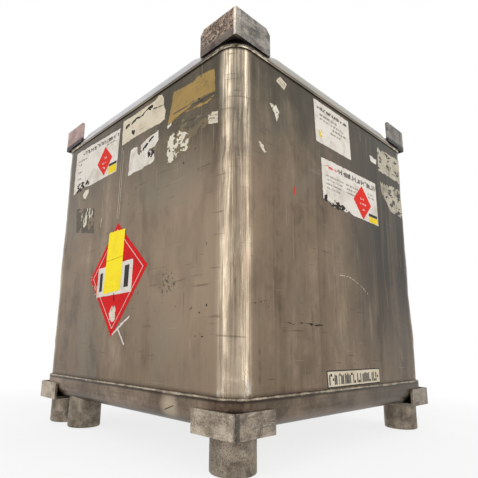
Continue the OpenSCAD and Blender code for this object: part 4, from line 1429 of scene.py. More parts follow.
@dataclass(frozen=True)
class BottomPan:
    """The heavy pressed pan that the walls stand in, with a knocked lip and dents.

    Attributes:
        sizes: The tank's sizes.
        outline: The tank's plan.
        lip_wave: Height of the lip's waves.
        arc_steps: Steps round the edge.
        rings: Steps from the middle to the edge.
        wear_from: Height over the underside from which the side is worn.
        wear_over: Height over which the wear grows to its full depth.
        calm_y: Half the width, at the recess, that stays flat.
        calm_x: Distance from the middle, along -X, from which it stays flat there.
        calm_over: Distance over which the wear fades out toward it.
        dents: The dents.
    """

    sizes: TankSizes
    outline: Outline
    lip_wave: float = 0.7 * MM
    arc_steps: int = 10
    rings: int = 12
    wear_from: float = 0.02
    wear_over: float = 0.05
    calm_y: float = 0.2
    calm_x: float = 0.47
    calm_over: float = 0.03
    dents: tuple[Dent, ...] = (
        Dent((0.295, -0.535, 0.138), 0.055, 4.0 * MM),
        Dent((-0.16, -0.538, 0.142), 0.06, 1.8 * MM),
        Dent((0.538, -0.05, 0.140), 0.05, 2.2 * MM),
        Dent((0.538, 0.22, 0.145), 0.07, 2.0 * MM),
    )

    def build(self, finishes: Finishes) -> None:
        """Makes the pan.

        Args:
            finishes: The materials.
        """
        s = self.sizes
        stations = self.outline.stations()
        knuckle_z = s.pan_z + s.pan_knuckle
        profile = []
        for i in range(self.arc_steps + 1):
            turn = math.pi / 2 * (1 - i / self.arc_steps)
            profile.append((s.pan_out - s.pan_knuckle * (1 - math.cos(turn)),
                            knuckle_z - s.pan_knuckle * math.sin(turn)))
        profile += [(s.pan_out, z) for z in spaced(knuckle_z, s.lip_z, 5 * MM)[1:]]
        rows = []
        inner = [place.point(*profile[0]) for place in stations]
        for ring in range(self.rings):
            share = ring / self.rings
            rows.append([Vector((p.x * share, p.y * share, s.pan_z)) for p in inner])
        for out, z in profile:
            rows.append([self._worn(place, out, z) for place in stations])
        pan = loft("tank_pan", rows)
        thicken(merge(pan, closed=False), s.pan_t)
        cut_away(pan, [block((-1.0, -s.recess_half, s.pan_z - 0.05),
                             (-s.recess_back, s.recess_half, s.lip_z + 0.05))])
        paint(pan, finishes.pan)
        hand_over(smooth(pan, 40), TANK, ("bottom_head",))

    def _worn(self, place: Station, out: float, z: float) -> Vector:
        """A point of the pan's side, moved by the wave of its lip and by its dents."""
        point = place.point(out, z)
        height = clamp((z - self.sizes.pan_z - self.wear_from) / self.wear_over)
        beside = abs(point.y) < self.calm_y
        calm = 1.0 - clamp((point.x + self.calm_x) / -self.calm_over) * beside
        rise = noise.noise(Vector((point.x * 11, point.y * 11, z * 6 + 2))) * self.lip_wave
        rise -= sum(dent.press(point) for dent in self.dents)
        return place.point(out + rise * height * calm, z)


# ---------- Weld beads ----------


class Bead:
    """A rippled weld bead along a path, made by Geometry Nodes.

    Attributes:
        lumps: Lumps per metre.
        sways: Bends per metre by which it strays from its path.
        tree: The node tree, once it is built.
    """

    lumps: float = 55.0
    sways: float = 38.0
    tree: bpy.types.NodeTree | None = None

    @classmethod
    def nodes(cls) -> bpy.types.NodeTree:
        """Builds the node tree once.

        Returns:
            The tree that turns loose edges into a rippled bead.
        """
        if cls.tree is not None:
            return cls.tree
        cls.tree = bpy.data.node_groups.new("weld_bead", "GeometryNodeTree")
        sizes = ("Radius", "Step", "Pitch", "Ripple", "Lump", "Wander")
        for name, kind in (("Path", "Geometry"), *((name, "Float") for name in sizes),
                           ("Sides", "Int"), ("Finish", "Material")):
            cls.tree.interface.new_socket(name, in_out="INPUT", socket_type=f"NodeSocket{kind}")
        cls.tree.interface.new_socket("Bead", in_out="OUTPUT", socket_type="NodeSocketGeometry")
        t = Tree(cls.tree)
        given = t.add("NodeGroupInput")
        curve = t.add("GeometryNodeMeshToCurve", {"Mesh": given["Path"]})
        even = t.add("GeometryNodeResampleCurve", {"Curve": curve, "Length": given["Step"]},
                     mode="LENGTH")
        along = t.add("GeometryNodeSplineParameter", output="Length")
        ripple = abs(t.math("SINE", along / given["Pitch"] * math.pi))
        lump = t.add("ShaderNodeTexNoise", {"Scale": cls.lumps, "Detail": 2.0}) - 0.5
        size = ripple * given["Ripple"] + lump * given["Lump"]
        sway = t.add("ShaderNodeTexNoise", {"Scale": cls.sways}, "Color")
        centred = t.add("ShaderNodeVectorMath", {0: sway, 1: (0.5, 0.5, 0.5)},
                        operation="SUBTRACT")
        shift = t.add("ShaderNodeVectorMath", {0: centred, "Scale": given["Wander"]},
                      operation="SCALE")
        moved = t.add("GeometryNodeSetPosition", {"Geometry": even, "Offset": shift})
        sized = t.add("GeometryNodeSetCurveRadius",
                      {0: moved, "Radius": (size + 1.0) * given["Radius"]})
        ring = t.add("GeometryNodeCurvePrimitiveCircle", {"Radius": 1.0,
                                                          "Resolution": given["Sides"]})
        swept = t.add("GeometryNodeCurveToMesh",
                      {"Curve": sized, "Profile Curve": ring, "Fill Caps": True,
                       "Scale": t.add("GeometryNodeInputRadius")})
        real = t.add("GeometryNodeRealizeInstances", {0: swept})
        finish = t.add("GeometryNodeSetMaterial", {"Geometry": real, "Material": given["Finish"]})
        t.set(t.nodes.new("NodeGroupOutput").inputs[0], finish)
        return cls.tree

    @classmethod
    def lay(cls, name: str, paths: Sequence[tuple[Sequence[Vector], bool]], radius: float,
            material: Material, pitch: float = 4.2 * MM, ripple: float = 0.22, lump: float = 0.5,
            wander: float = 1.0 * MM, sides: int = 8, step: float = 1.6 * MM) -> Piece:
        """Lays beads along paths and returns them as one plain mesh.

        Args:
            name: The piece's name.
            paths: Each path's points, and whether it is closed.
            radius: Radius of the bead.
            material: Its finish.
            pitch: Distance from ripple to ripple.
            ripple: Height of the ripples, as a share of the radius.
            lump: Unevenness of the radius, as a share of it.
            wander: How far the bead strays from its path.
            sides: Faces round the bead.
            step: Distance of the points along it.

        Returns:
            The bead.
        """
        verts: list[Vector] = []
        edges: list[tuple[int, int]] = []
        for points, closed in paths:
            first = len(verts)
            verts += points
            edges += [(first + i, first + i + 1) for i in range(len(points) - 1)]
            if closed:
                edges.append((len(verts) - 1, first))
        piece = new_object(name, verts, (), edges)
        modifier = piece.modifiers.new("bead", "NODES")
        modifier.node_group = cls.nodes()
        values = {"Radius": radius, "Step": step, "Pitch": pitch, "Ripple": ripple, "Lump": lump,
                  "Wander": wander, "Sides": sides, "Finish": material}
        for item in modifier.node_group.interface.items_tree:
            if item.in_out == "INPUT" and item.name in values:
                modifier[item.identifier] = values[item.name]
        return smooth(merge(bake(piece)), 60)


@dataclass(frozen=True)
class Welds:
    """Every weld of the tank: the two laps, and the fillets round feet and ports."""

    sizes: TankSizes
    outline: Outline
    lap_r: float = 1.6 * MM
    lip_r: float = 4.4 * MM
    fillet_r: float = 3.2 * MM
    foot_ring: float = 59.3 * MM
    collar_ring: float = 253 * MM
    fill_ring: float = 38.4 * MM
    vent_ring: float = 26.4 * MM

    def build(self, finishes: Finishes) -> None:
        """Makes the beads.

        Args:
            finishes: The materials.
        """
        s = self.sizes
        stations = self.outline.stations()
        bend_z = s.head_z - s.head_knuckle
        lap = Bead.lay("lap_weld", [([p.point(s.skirt_out, bend_z) for p in stations], True)],
                       self.lap_r, finishes.head, ripple=0.06, lump=0.15, wander=0.4 * MM,
                       step=4 * MM)
        hand_over(lap, TANK, ("top_lap_weld",))
        lip = [p.point(s.pan_out / 2, s.lip_z + 0.6 * MM) for p in stations
               if not (p.wall is Wall.LEFT and abs(p.width) < s.recess_half + 1 * MM)]
        start = next(i for i, (a, b) in enumerate(zip(lip, lip[1:])) if (b - a).length > 0.1) + 1
        lip = lip[start:] + lip[:start]
        bead = Bead.lay("lip_weld", [(lip, False)], self.lip_r, finishes.dull_weld,
                        pitch=9 * MM, ripple=0.05, lump=0.55, wander=1.6 * MM, step=2.5 * MM)
        hand_over(bead, TANK, ("bottom_lap_weld",))
        feet = [self._ring((x, y), self.foot_ring, s.pan_z - 11 * MM)
                for x in (-s.foot_at, s.foot_at) for y in (-s.foot_at, s.foot_at)]
        ports = [self._ring(at, r, s.head_z + 0.8 * MM) for at, r in
                 (((0, 0), self.collar_ring), (s.fill_at, self.fill_ring),
                  (s.vent_at, self.vent_ring))]
        for name, rings, finish in (("foot_welds", feet, finishes.dull_weld),
                                    ("port_welds", ports, finishes.weld)):
            bead = Bead.lay(name, rings, self.fillet_r, finish, ripple=0.2, lump=0.3)
            hand_over(bead, TANK)

    @staticmethod
    def _ring(centre: Point2, radius: float, z: float) -> tuple[list[Vector], bool]:
        """A closed circular path."""
        points = 96
        turns = [2 * math.pi * i / points for i in range(points)]
        return [Vector((centre[0] + radius * math.cos(turn), centre[1] + radius * math.sin(turn),
                        z)) for turn in turns], True


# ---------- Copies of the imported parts, with softened edges ----------


@dataclass(frozen=True)
class SoftCopy:
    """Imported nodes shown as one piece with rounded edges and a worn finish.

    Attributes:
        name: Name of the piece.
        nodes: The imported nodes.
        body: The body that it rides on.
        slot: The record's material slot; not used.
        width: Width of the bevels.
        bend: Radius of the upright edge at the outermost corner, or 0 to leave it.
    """

    name: str
    nodes: tuple[str, ...]
    body: str
    slot: Slot
    width: float = 0.8 * MM
    bend: float = 0.0

    def build(self, material: Material, edge: Material | None = None) -> Piece:
        """Copies, merges and softens the nodes' meshes, and hands the piece over.

        Args:
            material: The finish.
            edge: The finish of the rounded edges, where it differs.

        Returns:
            The piece.
        """
        shape = bmesh.new()
        for node in self.nodes:
            shape.from_mesh(frame["nodes"][node].data)
        bmesh.ops.remove_doubles(shape, verts=shape.verts, dist=DOUBLE)
        bmesh.ops.dissolve_limit(shape, angle_limit=math.radians(1.0), verts=shape.verts,
                                 edges=shape.edges, delimit={"NORMAL"})
        for face in shape.faces:
            face.material_index = 0
        if self.bend:
            bmesh.ops.bevel(shape, geom=self._outer_edges(shape), offset=self.bend, segments=6,
                            offset_type="OFFSET", profile=0.5, affect="EDGES")
        piece = from_bmesh(self.name, shape)
        paint(piece, *([material] if edge is None else [material, edge]))
        soften(piece, self.width, 1 if edge is not None else -1)
        return hand_over(piece, self.body, self.nodes)

    @staticmethod
    def _outer_edges(shape: Mesh) -> list[bmesh.types.BMEdge]:
        """The upright edges at the corner that lies farthest out."""
        reach = max(min(abs(vert.co.x), abs(vert.co.y)) for vert in shape.verts)
        return [edge for edge in shape.edges
                if all(min(abs(vert.co.x), abs(vert.co.y)) > reach - 0.2 * MM
                       for vert in edge.verts)
                and abs(edge.verts[0].co.z - edge.verts[1].co.z) > 10 * MM]


# ---------- Feet and lugs ----------


@dataclass(frozen=True)
class TubeFeet:
    """Tube feet with closed, worn bottoms: one under each corner, two more beside the recess.

    Attributes:
        sizes: The tank's sizes.
        radius: Outside radius.
        wall: Thickness of the tube.
        edge: Radius of the bottom's round edge.
        height: Height of the corner feet.
        sides: Faces round a foot.
        rough: Depth of the uneven outside.
    """

    sizes: TankSizes
    radius: float = 59 * MM
    wall: float = 8 * MM
    edge: float = 5 * MM
    height: float = 90 * MM
    sides: int = 72
    rough: float = 0.35 * MM

    def build(self, finishes: Finishes) -> None:
        """Makes the feet.

        Args:
            finishes: The materials.
        """
        at = self.sizes.foot_at
        for end, y in (("front", -at), ("rear", at)):
            for side, x in (("left", -at), ("right", at)):
                foot = self.tube(f"tube_foot_{end}_{side}", (x, y), lambda _: self.height)
                paint(foot, finishes.foot)
                hand_over(foot, TANK, (f"foot_{end}_{side}",))
        low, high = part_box("inner_feet")
        inner_x = (low.x + high.x) / 2
        pair = [self.tube(f"inner_{end}", (inner_x, y), self._under_pan)
                for end, y in (("front", -at), ("rear", at))]
        inner = join("tube_feet_inner", pair)
        paint(inner, finishes.foot)
        hand_over(inner, TANK, ("inner_feet",))

    def _under_pan(self, y: float) -> float:
        """Height of the pan's underside at a place across, plus a little to meet it."""
        s = self.sizes
        run = abs(y) - (s.half + s.pan_out - s.pan_knuckle)
        rise = s.pan_knuckle - math.sqrt(max(0.0, s.pan_knuckle ** 2 - max(0.0, run) ** 2))
        return s.pan_z + rise + 0.4 * MM

    def tube(self, name: str, centre: Point2, top: Callable[[float], float]) -> Piece:
        """Makes one foot.

        Args:
            name: The piece's name.
            centre: Its middle in plan.
            top: Height of its upper edge at a place along Y.

        Returns:
            The foot.
        """
        turns = [math.pi / 2 * i / 4 for i in range(5)]
        profile = [(self.radius - self.edge + self.edge * math.sin(turn),
                    self.edge * (1 - math.cos(turn))) for turn in turns]
        profile += [(self.radius, z) for z in spaced(self.edge, self.height - 8 * MM, 5 * MM)[1:]]
        outer = [(0.0, 0.0), (self.radius * 0.45, 0.0), *profile]
        inner = [(self.radius - self.wall, self.wall), (0.0, self.wall)]
        bore = self.radius - self.wall
        rings = []
        for r, z in [*outer, (self.radius, None), (bore, None), *inner]:
            rings.append([self._point(centre, r, z, i, top) for i in range(self.sides)])
        foot = loft(name, rings)
        return smooth(merge(foot), 40)

    def _point(self, centre: Point2, r: float, z: float | None, i: int,
               top: Callable[[float], float]) -> Vector:
        """One point of a foot, roughened on its outside, or of its upper edge without a height."""
        turn = 2 * math.pi * i / self.sides
        x, y = centre[0] + r * math.cos(turn), centre[1] + r * math.sin(turn)
        if z is None:
            return Vector((x, y, top(y)))
        if r > self.radius - self.edge - 1e-9 and z > 0:
            push = noise.noise(Vector((x * 70, y * 70, z * 60))) * self.rough
            x += math.cos(turn) * push
            y += math.sin(turn) * push
        return Vector((x, y, z))


def join(name: str, parts: Sequence[Piece]) -> Piece:
    """Joins pieces that share their material slots into one.

    Args:
        name: Name of the result.
        parts: The pieces, which are used up.

    Returns:
        The joined piece.
    """
    shape = bmesh.new()
    materials = list(parts[0].data.materials)
    for part in parts:
        shape.from_mesh(part.data)
        bpy.data.objects.remove(part)
    joined = from_bmesh(name, shape)
    for material in materials:
        joined.data.materials.append(material)
    return joined


@dataclass(frozen=True)
class Lugs:
    """Bent angle lugs at the corners, scuffed, with bright worn edges, and the foot plates."""

    width: float = 1.6 * MM
    top_bend: float = 6 * MM
    low_bend: float = 13 * MM

    def build(self, finishes: Finishes) -> None:
        """Makes the lugs and plates.

        Args:
            finishes: The materials.
        """
        for level, steel, bend in (("top", finishes.top_lug, self.top_bend),
                                   ("bottom", finishes.low_lug, self.low_bend)):
            for end in ("front", "rear"):
                for side in ("left", "right"):
                    name = f"{level}_lug_{end}_{side}"
                    SoftCopy(f"{name}_worn", (name,), TANK, Slot.LUG, self.width,
                             bend).build(steel, finishes.lug_edge)
        SoftCopy("foot_plates_worn", ("foot_plates",), TANK, Slot.LUG,
                 1.2 * MM).build(finishes.plate)
        SoftCopy("valve_recess", ("valve_well",), TANK, Slot.WALL,
                 1.0 * MM).build(finishes.plate)


# ---------- Fittings ----------


@dataclass(frozen=True)
class Fittings:
    """Manway, ports, vent, outlet valve and small fittings, each on its own body."""

    fine: float = 0.5 * MM

    def build(self, finishes: Finishes) -> None:
        """Makes every fitting.

        Args:
            finishes: The materials.
        """
        f = finishes
        by_slot = {Slot.WALL: f.plate, Slot.FITTING: f.fitting, Slot.LUG: f.low_lug,
                   Slot.SHAFT: f.shaft, Slot.SEAL: f.seal, Slot.GRIP: f.grip, Slot.CAP: f.cap,
                   Slot.FOOT: f.foot}
        self._plate_marks()
        shown = {node for piece in bpy.data.objects for node in piece.get("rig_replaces", ())}
        slots = {row["node"]: row["material_slot"] for row in frame["record"]["subparts"]}
        for node in frame["nodes"]:
            if node in shown:
                continue
            slot = Slot(slots.get(node, Slot.FITTING.value))
            body = frame["nodes"][node]["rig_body"]
            copy = SoftCopy(f"{node}_soft", (node,), body, slot, self.fine)
            piece = copy.build(by_slot[slot])
            if node == "vent_spring":
                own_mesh(piece)

    def _plate_marks(self) -> None:
        """A frame and empty fields, etched on the data plate."""
        low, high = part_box("data_plate")
        inset, line, deep = 7 * MM, 0.7 * MM, 0.12 * MM
        left, right = low.y + inset, high.y - inset
        base, top = low.z + inset, high.z - inset
        levels = [top - share * (top - base) for share in (0.0, 0.25, 0.5, 0.75, 1.0)]
        bars = [(left, right, z, z) for z in levels]
        bars += [(y, y, base, top) for y in (left, left + (right - left) * 0.38, right)]
        lines = [block((low.x - deep, start, bottom), (low.x + deep, end + line, upper + line))
                 for start, end, bottom, upper in bars]
        marks = join("data_plate_marks", lines)
        paint(marks, Plastic("etched_line", (0.055, 0.050, 0.045)).make())
        hand_over(marks, TANK)


# ---------- Films ----------


@dataclass(frozen=True)
class Film:
    """A thin film or smear on a wall: clean-edged panels, or one torn and holed sheet.

    Attributes:
        name: Name of the piece.
        wall: The wall that it is stuck to.
        shapes: Panels, each as corners given by places across the wall and heights.
        material: Its finish.
        level: 1 on the wall, 2 on a film and so on.
        torn: How far its edges are torn, in metres. Above 0, only the first panel is used.
        holes: Share of a torn sheet that has come off.
        grain: Holes per metre across the wall and upward.
        thickness: Thickness of the film.
        gap: Least distance between the wall and a film's outer face, beside the thicknesses.
        pile: Rise from one level to the next, in thicknesses.
        grid: Size of the cells of a clean-edged panel.
        cell: Size of the cells of a torn sheet.
        fine: Depth of tearing below which the torn edge's waves get no shorter.
        ripple: Waves of the torn edge over the depth of its tearing.
        slope: How steeply a hole's edge falls, as the depth for a full change of the noise.
    """

    name: str
    wall: Wall
    shapes: tuple[tuple[Point2, ...], ...]
    material: Material
    level: int = 1
    torn: float = 0.0
    holes: float = 0.0
    grain: Point2 = (38.0, 38.0)
    thickness: float = 0.22 * MM
    gap: float = 0.12 * MM
    pile: float = 1.15
    grid: float = 14 * MM
    cell: float = 2.6 * MM
    fine: float = 1.5 * MM
    ripple: float = 0.16
    slope: float = 8 * MM

    def build(self, sizes: TankSizes, wear: WallWear) -> Piece:
        """Makes the film.

        Args:
            sizes: The tank's sizes.
            wear: How the wall stands out of flat.

        Returns:
            The piece.
        """
        shape = bmesh.new()
        if self.torn > 0:
            self._tear(shape)
        else:
            for corners in self.shapes:
                self._panel(shape, corners)
        for vert in shape.verts:
            vert.co = self._place(vert.co.x, vert.co.y, sizes, wear)
        self._close(shape)
        film = from_bmesh(self.name, shape)
        paint(film, self.material)
        smooth(film, 50)
        return hand_over(film, TANK)

    def _panel(self, shape: Mesh, corners: Sequence[Point2]) -> None:
        """Adds one clean-edged panel, cut into cells that can follow the wall."""
        verts = [shape.verts.new((u, v, 0)) for u, v in corners]
        edges = [shape.edges.new((a, b)) for a, b in zip(verts, verts[1:] + verts[:1])]
        faces = [item for item in bmesh.ops.triangle_fill(
            shape, edges=edges, use_beauty=True, normal=(0, 0, 1))["geom"]
            if isinstance(item, bmesh.types.BMFace)]
        parts: list = [*verts, *edges, *faces]
        for axis in (0, 1):
            low = min(point[axis] for point in corners)
            high = max(point[axis] for point in corners)
            for at in spaced(low, high, self.grid)[1:-1]:
                where, normal = [0.0, 0.0, 0.0], [0.0, 0.0, 0.0]
                where[axis], normal[axis] = at, 1.0
                parts = bmesh.ops.bisect_plane(shape, geom=parts, plane_co=where,
                                               plane_no=normal, dist=1e-7)["geom"]

    def _tear(self, shape: Mesh) -> None:
        """Adds the torn sheet: the cells in which the sheet is still there, cut at its edge."""
        corners = self.shapes[0]
        margin = self.torn + 2 * self.cell
        us = np.arange(min(u for u, _ in corners) - margin, max(u for u, _ in corners) + margin,
                       self.cell)
        vs = np.arange(min(v for _, v in corners) - margin, max(v for _, v in corners) + margin,
                       self.cell)
        field = self._field(*np.meshgrid(us, vs, indexing="ij"))
        made: dict[tuple[int, int, int], bmesh.types.BMVert] = {}

        def corner(i: int, j: int) -> bmesh.types.BMVert:
            """The vertex at a grid point."""
            if (i, j, 0) not in made:
                made[i, j, 0] = shape.verts.new((us[i], vs[j], 0))
            return made[i, j, 0]

        def crossing(i: int, j: int, k: int, m: int) -> bmesh.types.BMVert:
            """The vertex where the sheet's edge crosses the line between two grid points."""
            (i, j), (k, m) = sorted(((i, j), (k, m)))
            key = (i, j, 1 if k > i else 2)
            if key not in made:
                here, there = field[i, j], field[k, m]
                share = min(0.9, max(0.1, here / (here - there)))
                made[key] = shape.verts.new((us[i] + (us[k] - us[i]) * share,
                                             vs[j] + (vs[m] - vs[j]) * share, 0))
            return made[key]

        for i in range(len(us) - 1):
            for j in range(len(vs) - 1):
                ring = ((i, j), (i + 1, j), (i + 1, j + 1), (i, j + 1))
                if not any(field[at] > 0 for at in ring):
                    continue
                verts = []
                for here, there in zip(ring, ring[1:] + ring[:1]):
                    if field[here] > 0:
                        verts.append(corner(*here))
                    if (field[here] > 0) != (field[there] > 0):
                        verts.append(crossing(*here, *there))
                if len(verts) > 2:
                    shape.faces.new(verts)

    def _field(self, us: np.ndarray, vs: np.ndarray) -> np.ndarray:
        """How far places lie inside the torn sheet, less than zero where it is missing.

        Args:
            us: Places across the wall.
            vs: Heights.

        Returns:
            Distances from the torn edge, in metres.
        """
        best = np.full(us.shape, 1e9)
        inside = np.zeros(us.shape, dtype=bool)
        corners = self.shapes[0]
        for (u0, v0), (u1, v1) in zip(corners, corners[1:] + corners[:1]):
            du, dv = u1 - u0, v1 - v0
            share = np.clip(((us - u0) * du + (vs - v0) * dv) / (du * du + dv * dv), 0, 1)
            best = np.minimum(best, np.hypot(us - u0 - share * du, vs - v0 - share * dv))
            if dv != 0:
                inside ^= ((v0 > vs) != (v1 > vs)) & (us < du * (vs - v0) / dv + u0)
        field = np.where(inside, best, -best)
        offset = random.Random(self.name).uniform(0, 100)
        edge = self.ripple / max(self.torn, self.fine)
        level = (0.5 - self.holes) * 0.9
        for at in np.ndindex(us.shape):
            if field[at] < -self.torn - self.cell:
                continue
            u, v = us[at], vs[at]
            rip = noise.fractal(Vector((u * edge, v * edge, offset)), 0.7, 2.2, 4)
            field[at] += self.torn * rip
            if self.holes > 0:
                gap = noise.fractal(Vector((u * self.grain[0], v * self.grain[1], offset + 9)),
                                    0.6, 2.2, 5)
                field[at] = min(field[at], (level - gap) * self.slope)
        return field

    def _close(self, shape: Mesh) -> None:
        """Gives the film its underside and edges."""
        loose = [vert for vert in shape.verts if not vert.link_faces]
        bmesh.ops.delete(shape, geom=loose, context="VERTS")
        extruded = bmesh.ops.extrude_face_region(shape, geom=list(shape.faces))
        raised = {item for item in extruded["geom"] if isinstance(item, bmesh.types.BMVert)}
        for vert in shape.verts:
            if vert not in raised:
                vert.co -= self.wall.out * self.thickness
        bmesh.ops.recalc_face_normals(shape, faces=shape.faces)

    def _place(self, u: float, v: float, sizes: TankSizes, wear: WallWear) -> Vector:
        """The film's outer face over a place of the wall."""
        flat = self.wall.out * sizes.half + self.wall.along * u
        point = Vector((flat.x, flat.y, v))
        lift = self.gap + self.thickness * self.pile * self.level
        return point + self.wall.out * (wear.outward(point) + lift)


@dataclass(frozen=True)
class Papers:
    """Finishes of the films: papers, inks, tape and glue left behind."""

    white: Material
    cream: Material
    torn: Material
    glue: Material
    red: Material
    placard_red: Material
    yellow: Material
    tape: Material
    ink: Material
    grey_ink: Material
    smear: Material
    stain: Material
    haze: Material
    fold: Material
    worn: Material
    scratch: Material

    @classmethod
    def build(cls) -> Papers:
        """Makes the films' materials.

        Returns:
            The set of materials.
        """
        bare = (0.110, 0.085, 0.060)
        looks = {
            "white": FilmFinish("white_film", (0.74, 0.69, 0.62), (0.50, 0.43, 0.35), 0.10, 34,
                                bare),
            "cream": FilmFinish("cream_film", (0.68, 0.60, 0.46), (0.48, 0.40, 0.28), 0.12, 28,
                                bare, shift=3.1),
            "torn": FilmFinish("torn_paper", (0.72, 0.66, 0.54), (0.40, 0.33, 0.24), 0.30, 30,
                               bare, shift=5.3),
            "glue": FilmFinish("old_glue", (0.360, 0.235, 0.075), (0.215, 0.145, 0.055), 0.42, 11,
                               (0.20, 0.145, 0.070), rough=0.40, shift=1.7),
            "red": FilmFinish("red_print", (0.70, 0.018, 0.008), (0.58, 0.030, 0.016), 0.35, 60,
                              (0.66, 0.40, 0.30), shift=7.7),
            "placard_red": FilmFinish("red_placard", (0.66, 0.003, 0.004), (0.50, 0.004, 0.005),
                                      0.26, 30, (0.56, 0.16, 0.11), shift=2.9),
            "yellow": FilmFinish("yellow_print", (0.82, 0.60, 0.012), (0.62, 0.46, 0.06), 0.25, 70,
                                 (0.60, 0.55, 0.42), shift=8.1),
            "tape": FilmFinish("yellow_tape", (0.97, 0.77, 0.002), (0.88, 0.66, 0.003), 0.02, 40,
                               rough=0.35, shift=6.2),
            "ink": FilmFinish("black_print", (0.026, 0.024, 0.022), (0.060, 0.054, 0.048), 0.3, 60,
                              (0.40, 0.36, 0.30), shift=4.4),
            "grey_ink": FilmFinish("grey_print", (0.200, 0.180, 0.155), (0.34, 0.31, 0.26), 0.5,
                                   90, (0.62, 0.58, 0.50), shift=9.9),
            "smear": FilmFinish("dark_smear", (0.022, 0.018, 0.015), (0.055, 0.043, 0.032), 0.3,
                                34, bare, rough=0.6, shift=0.6),
            "stain": FilmFinish("dark_stain", (0.118, 0.100, 0.074), (0.092, 0.075, 0.050), 0.4,
                                24, bare, rough=0.5, shift=5.6),
            "haze": FilmFinish("glue_haze", (0.190, 0.150, 0.088), (0.140, 0.110, 0.070), 0.5, 18,
                               bare, rough=0.45, shift=3.9),
            "fold": FilmFinish("tape_fold", (0.55, 0.40, 0.004), (0.40, 0.29, 0.01), 0.2, 60,
                               shift=1.1),
            "worn": FilmFinish("worn_paper", (0.50, 0.45, 0.35), (0.20, 0.17, 0.125), 0.42, 44,
                               bare, shift=8.8),
            "scratch": FilmFinish("pale_scratch", (0.62, 0.54, 0.44), (0.30, 0.25, 0.18), 0.45, 60,
                                  bare, shift=2.2),
        }
        return cls(**{name: look.make() for name, look in looks.items()})


def panel(corners: Sequence[Point2], u0: float, v0: float, u1: float,
          v1: float) -> tuple[Point2, ...]:
    """A smaller panel within four corners, by shares from 0,0 at the upper left.

    Args:
        corners: The large panel's corners, from the upper left, clockwise.
        u0: Start across.
        v0: Upper edge.
        u1: End across.
        v1: Lower edge.

    Returns:
        The small panel's corners.
    """
    (ax, ay), (bx, by), (cx, cy), (dx, dy) = corners
    found = []
    for u, v in ((u0, v0), (u1, v0), (u1, v1), (u0, v1)):
        top = (ax + (bx - ax) * u, ay + (by - ay) * u)
        low = (dx + (cx - dx) * u, dy + (cy - dy) * u)
        found.append((top[0] + (low[0] - top[0]) * v, top[1] + (low[1] - top[1]) * v))
    return tuple(found)


def ribbon(line: Sequence[Point2], width: float) -> list[Point2]:
    """The outline of a strip along a line, upright in its width."""
    return ([(u, v + width / 2) for u, v in line]
            + [(u, v - width / 2) for u, v in reversed(line)])


@dataclass(frozen=True)
class Sticker:
    """Sticks films on one wall.

    Places and sizes are in millimetres here: across the wall from its middle, and up from the
    floor.

    Attributes:
        wall: The wall.
        sizes: The tank's sizes.
        wear: How the walls stand out of flat.
        dashes: Share of the ticks that are short dashes.
    """

    wall: Wall
    sizes: TankSizes
    wear: WallWear
    dashes: float = 0.28

    def stick(self, name: str, shapes: Sequence[Sequence[Point2]], material: Material,
              level: int = 1, torn: float = 0.0, holes: float = 0.0,
              grain: Point2 = (38.0, 38.0)) -> None:
        """Makes one film of one or more panels.

        Args:
            name: The piece's name.
            shapes: Each panel's corners.
            material: The film's finish.
            level: 1 on the wall, 2 on a film and so on.
            torn: How far its edges are torn.
            holes: Share of a torn sheet that has come off.
            grain: Holes per metre across the wall and upward.
        """
        metres = tuple(tuple((u / 1000, v / 1000) for u, v in shape) for shape in shapes)
        Film(name, self.wall, metres, material, level, torn * MM, holes,
             grain).build(self.sizes, self.wear)

    def add(self, name: str, shape: Sequence[Point2], *rest: object, **more: object) -> None:
        """Makes a film of a single panel."""
        self.stick(name, (shape,), *rest, **more)

    def diamond(self, name: str, centre: Point2, half: Point2, *rest: object) -> None:
        """Makes a plain diamond."""
        x, z = centre
        self.add(name, ((x, z + half[1]), (x - half[0], z), (x, z - half[1]), (x + half[0], z)),
                 *rest)

    def ticks(self, name: str, corners: Sequence[Point2],
              rows: Sequence[tuple[float, float, float, float]], material: Material,
              level: int = 2, pitch: float = 7.0) -> None:
        """Prints rows of uneven ticks in groups, which stand for lines of words.

        Args:
            name: The piece's name.
            corners: The label's corners.
            rows: For each row its start and end across, its upper place and its height, all as
                shares of the label.
            material: The print's finish.
            level: 1 on the wall, 2 on a film and so on.
            pitch: Distance of the ticks.
        """
        draw = random.Random(name)
        width = math.dist(corners[0], corners[1])
        panels: list[tuple[Point2, ...]] = []
        for start, end, top, high in rows:
            u = start
            left = draw.randint(3, 8)
            while u < end:
                wide = pitch * draw.uniform(0.38, 0.78) / width
                if draw.random() < self.dashes:
                    at = top + high * draw.choice((0.0, 0.40, 0.76))
                    panels.append(panel(corners, u, at, u + wide * 1.7, at + high * 0.24))
                    wide *= 1.7
                else:
                    drop = high * draw.uniform(0.0, 0.22)
                    panels.append(panel(corners, u, top + drop, u + wide, top + high))
                u += wide + pitch * draw.uniform(0.18, 0.34) / width
                left -= 1
                if left == 0:
                    u += pitch * draw.uniform(0.5, 0.9) / width
                    left = draw.randint(3, 8)
        self.stick(name, panels, material, level)


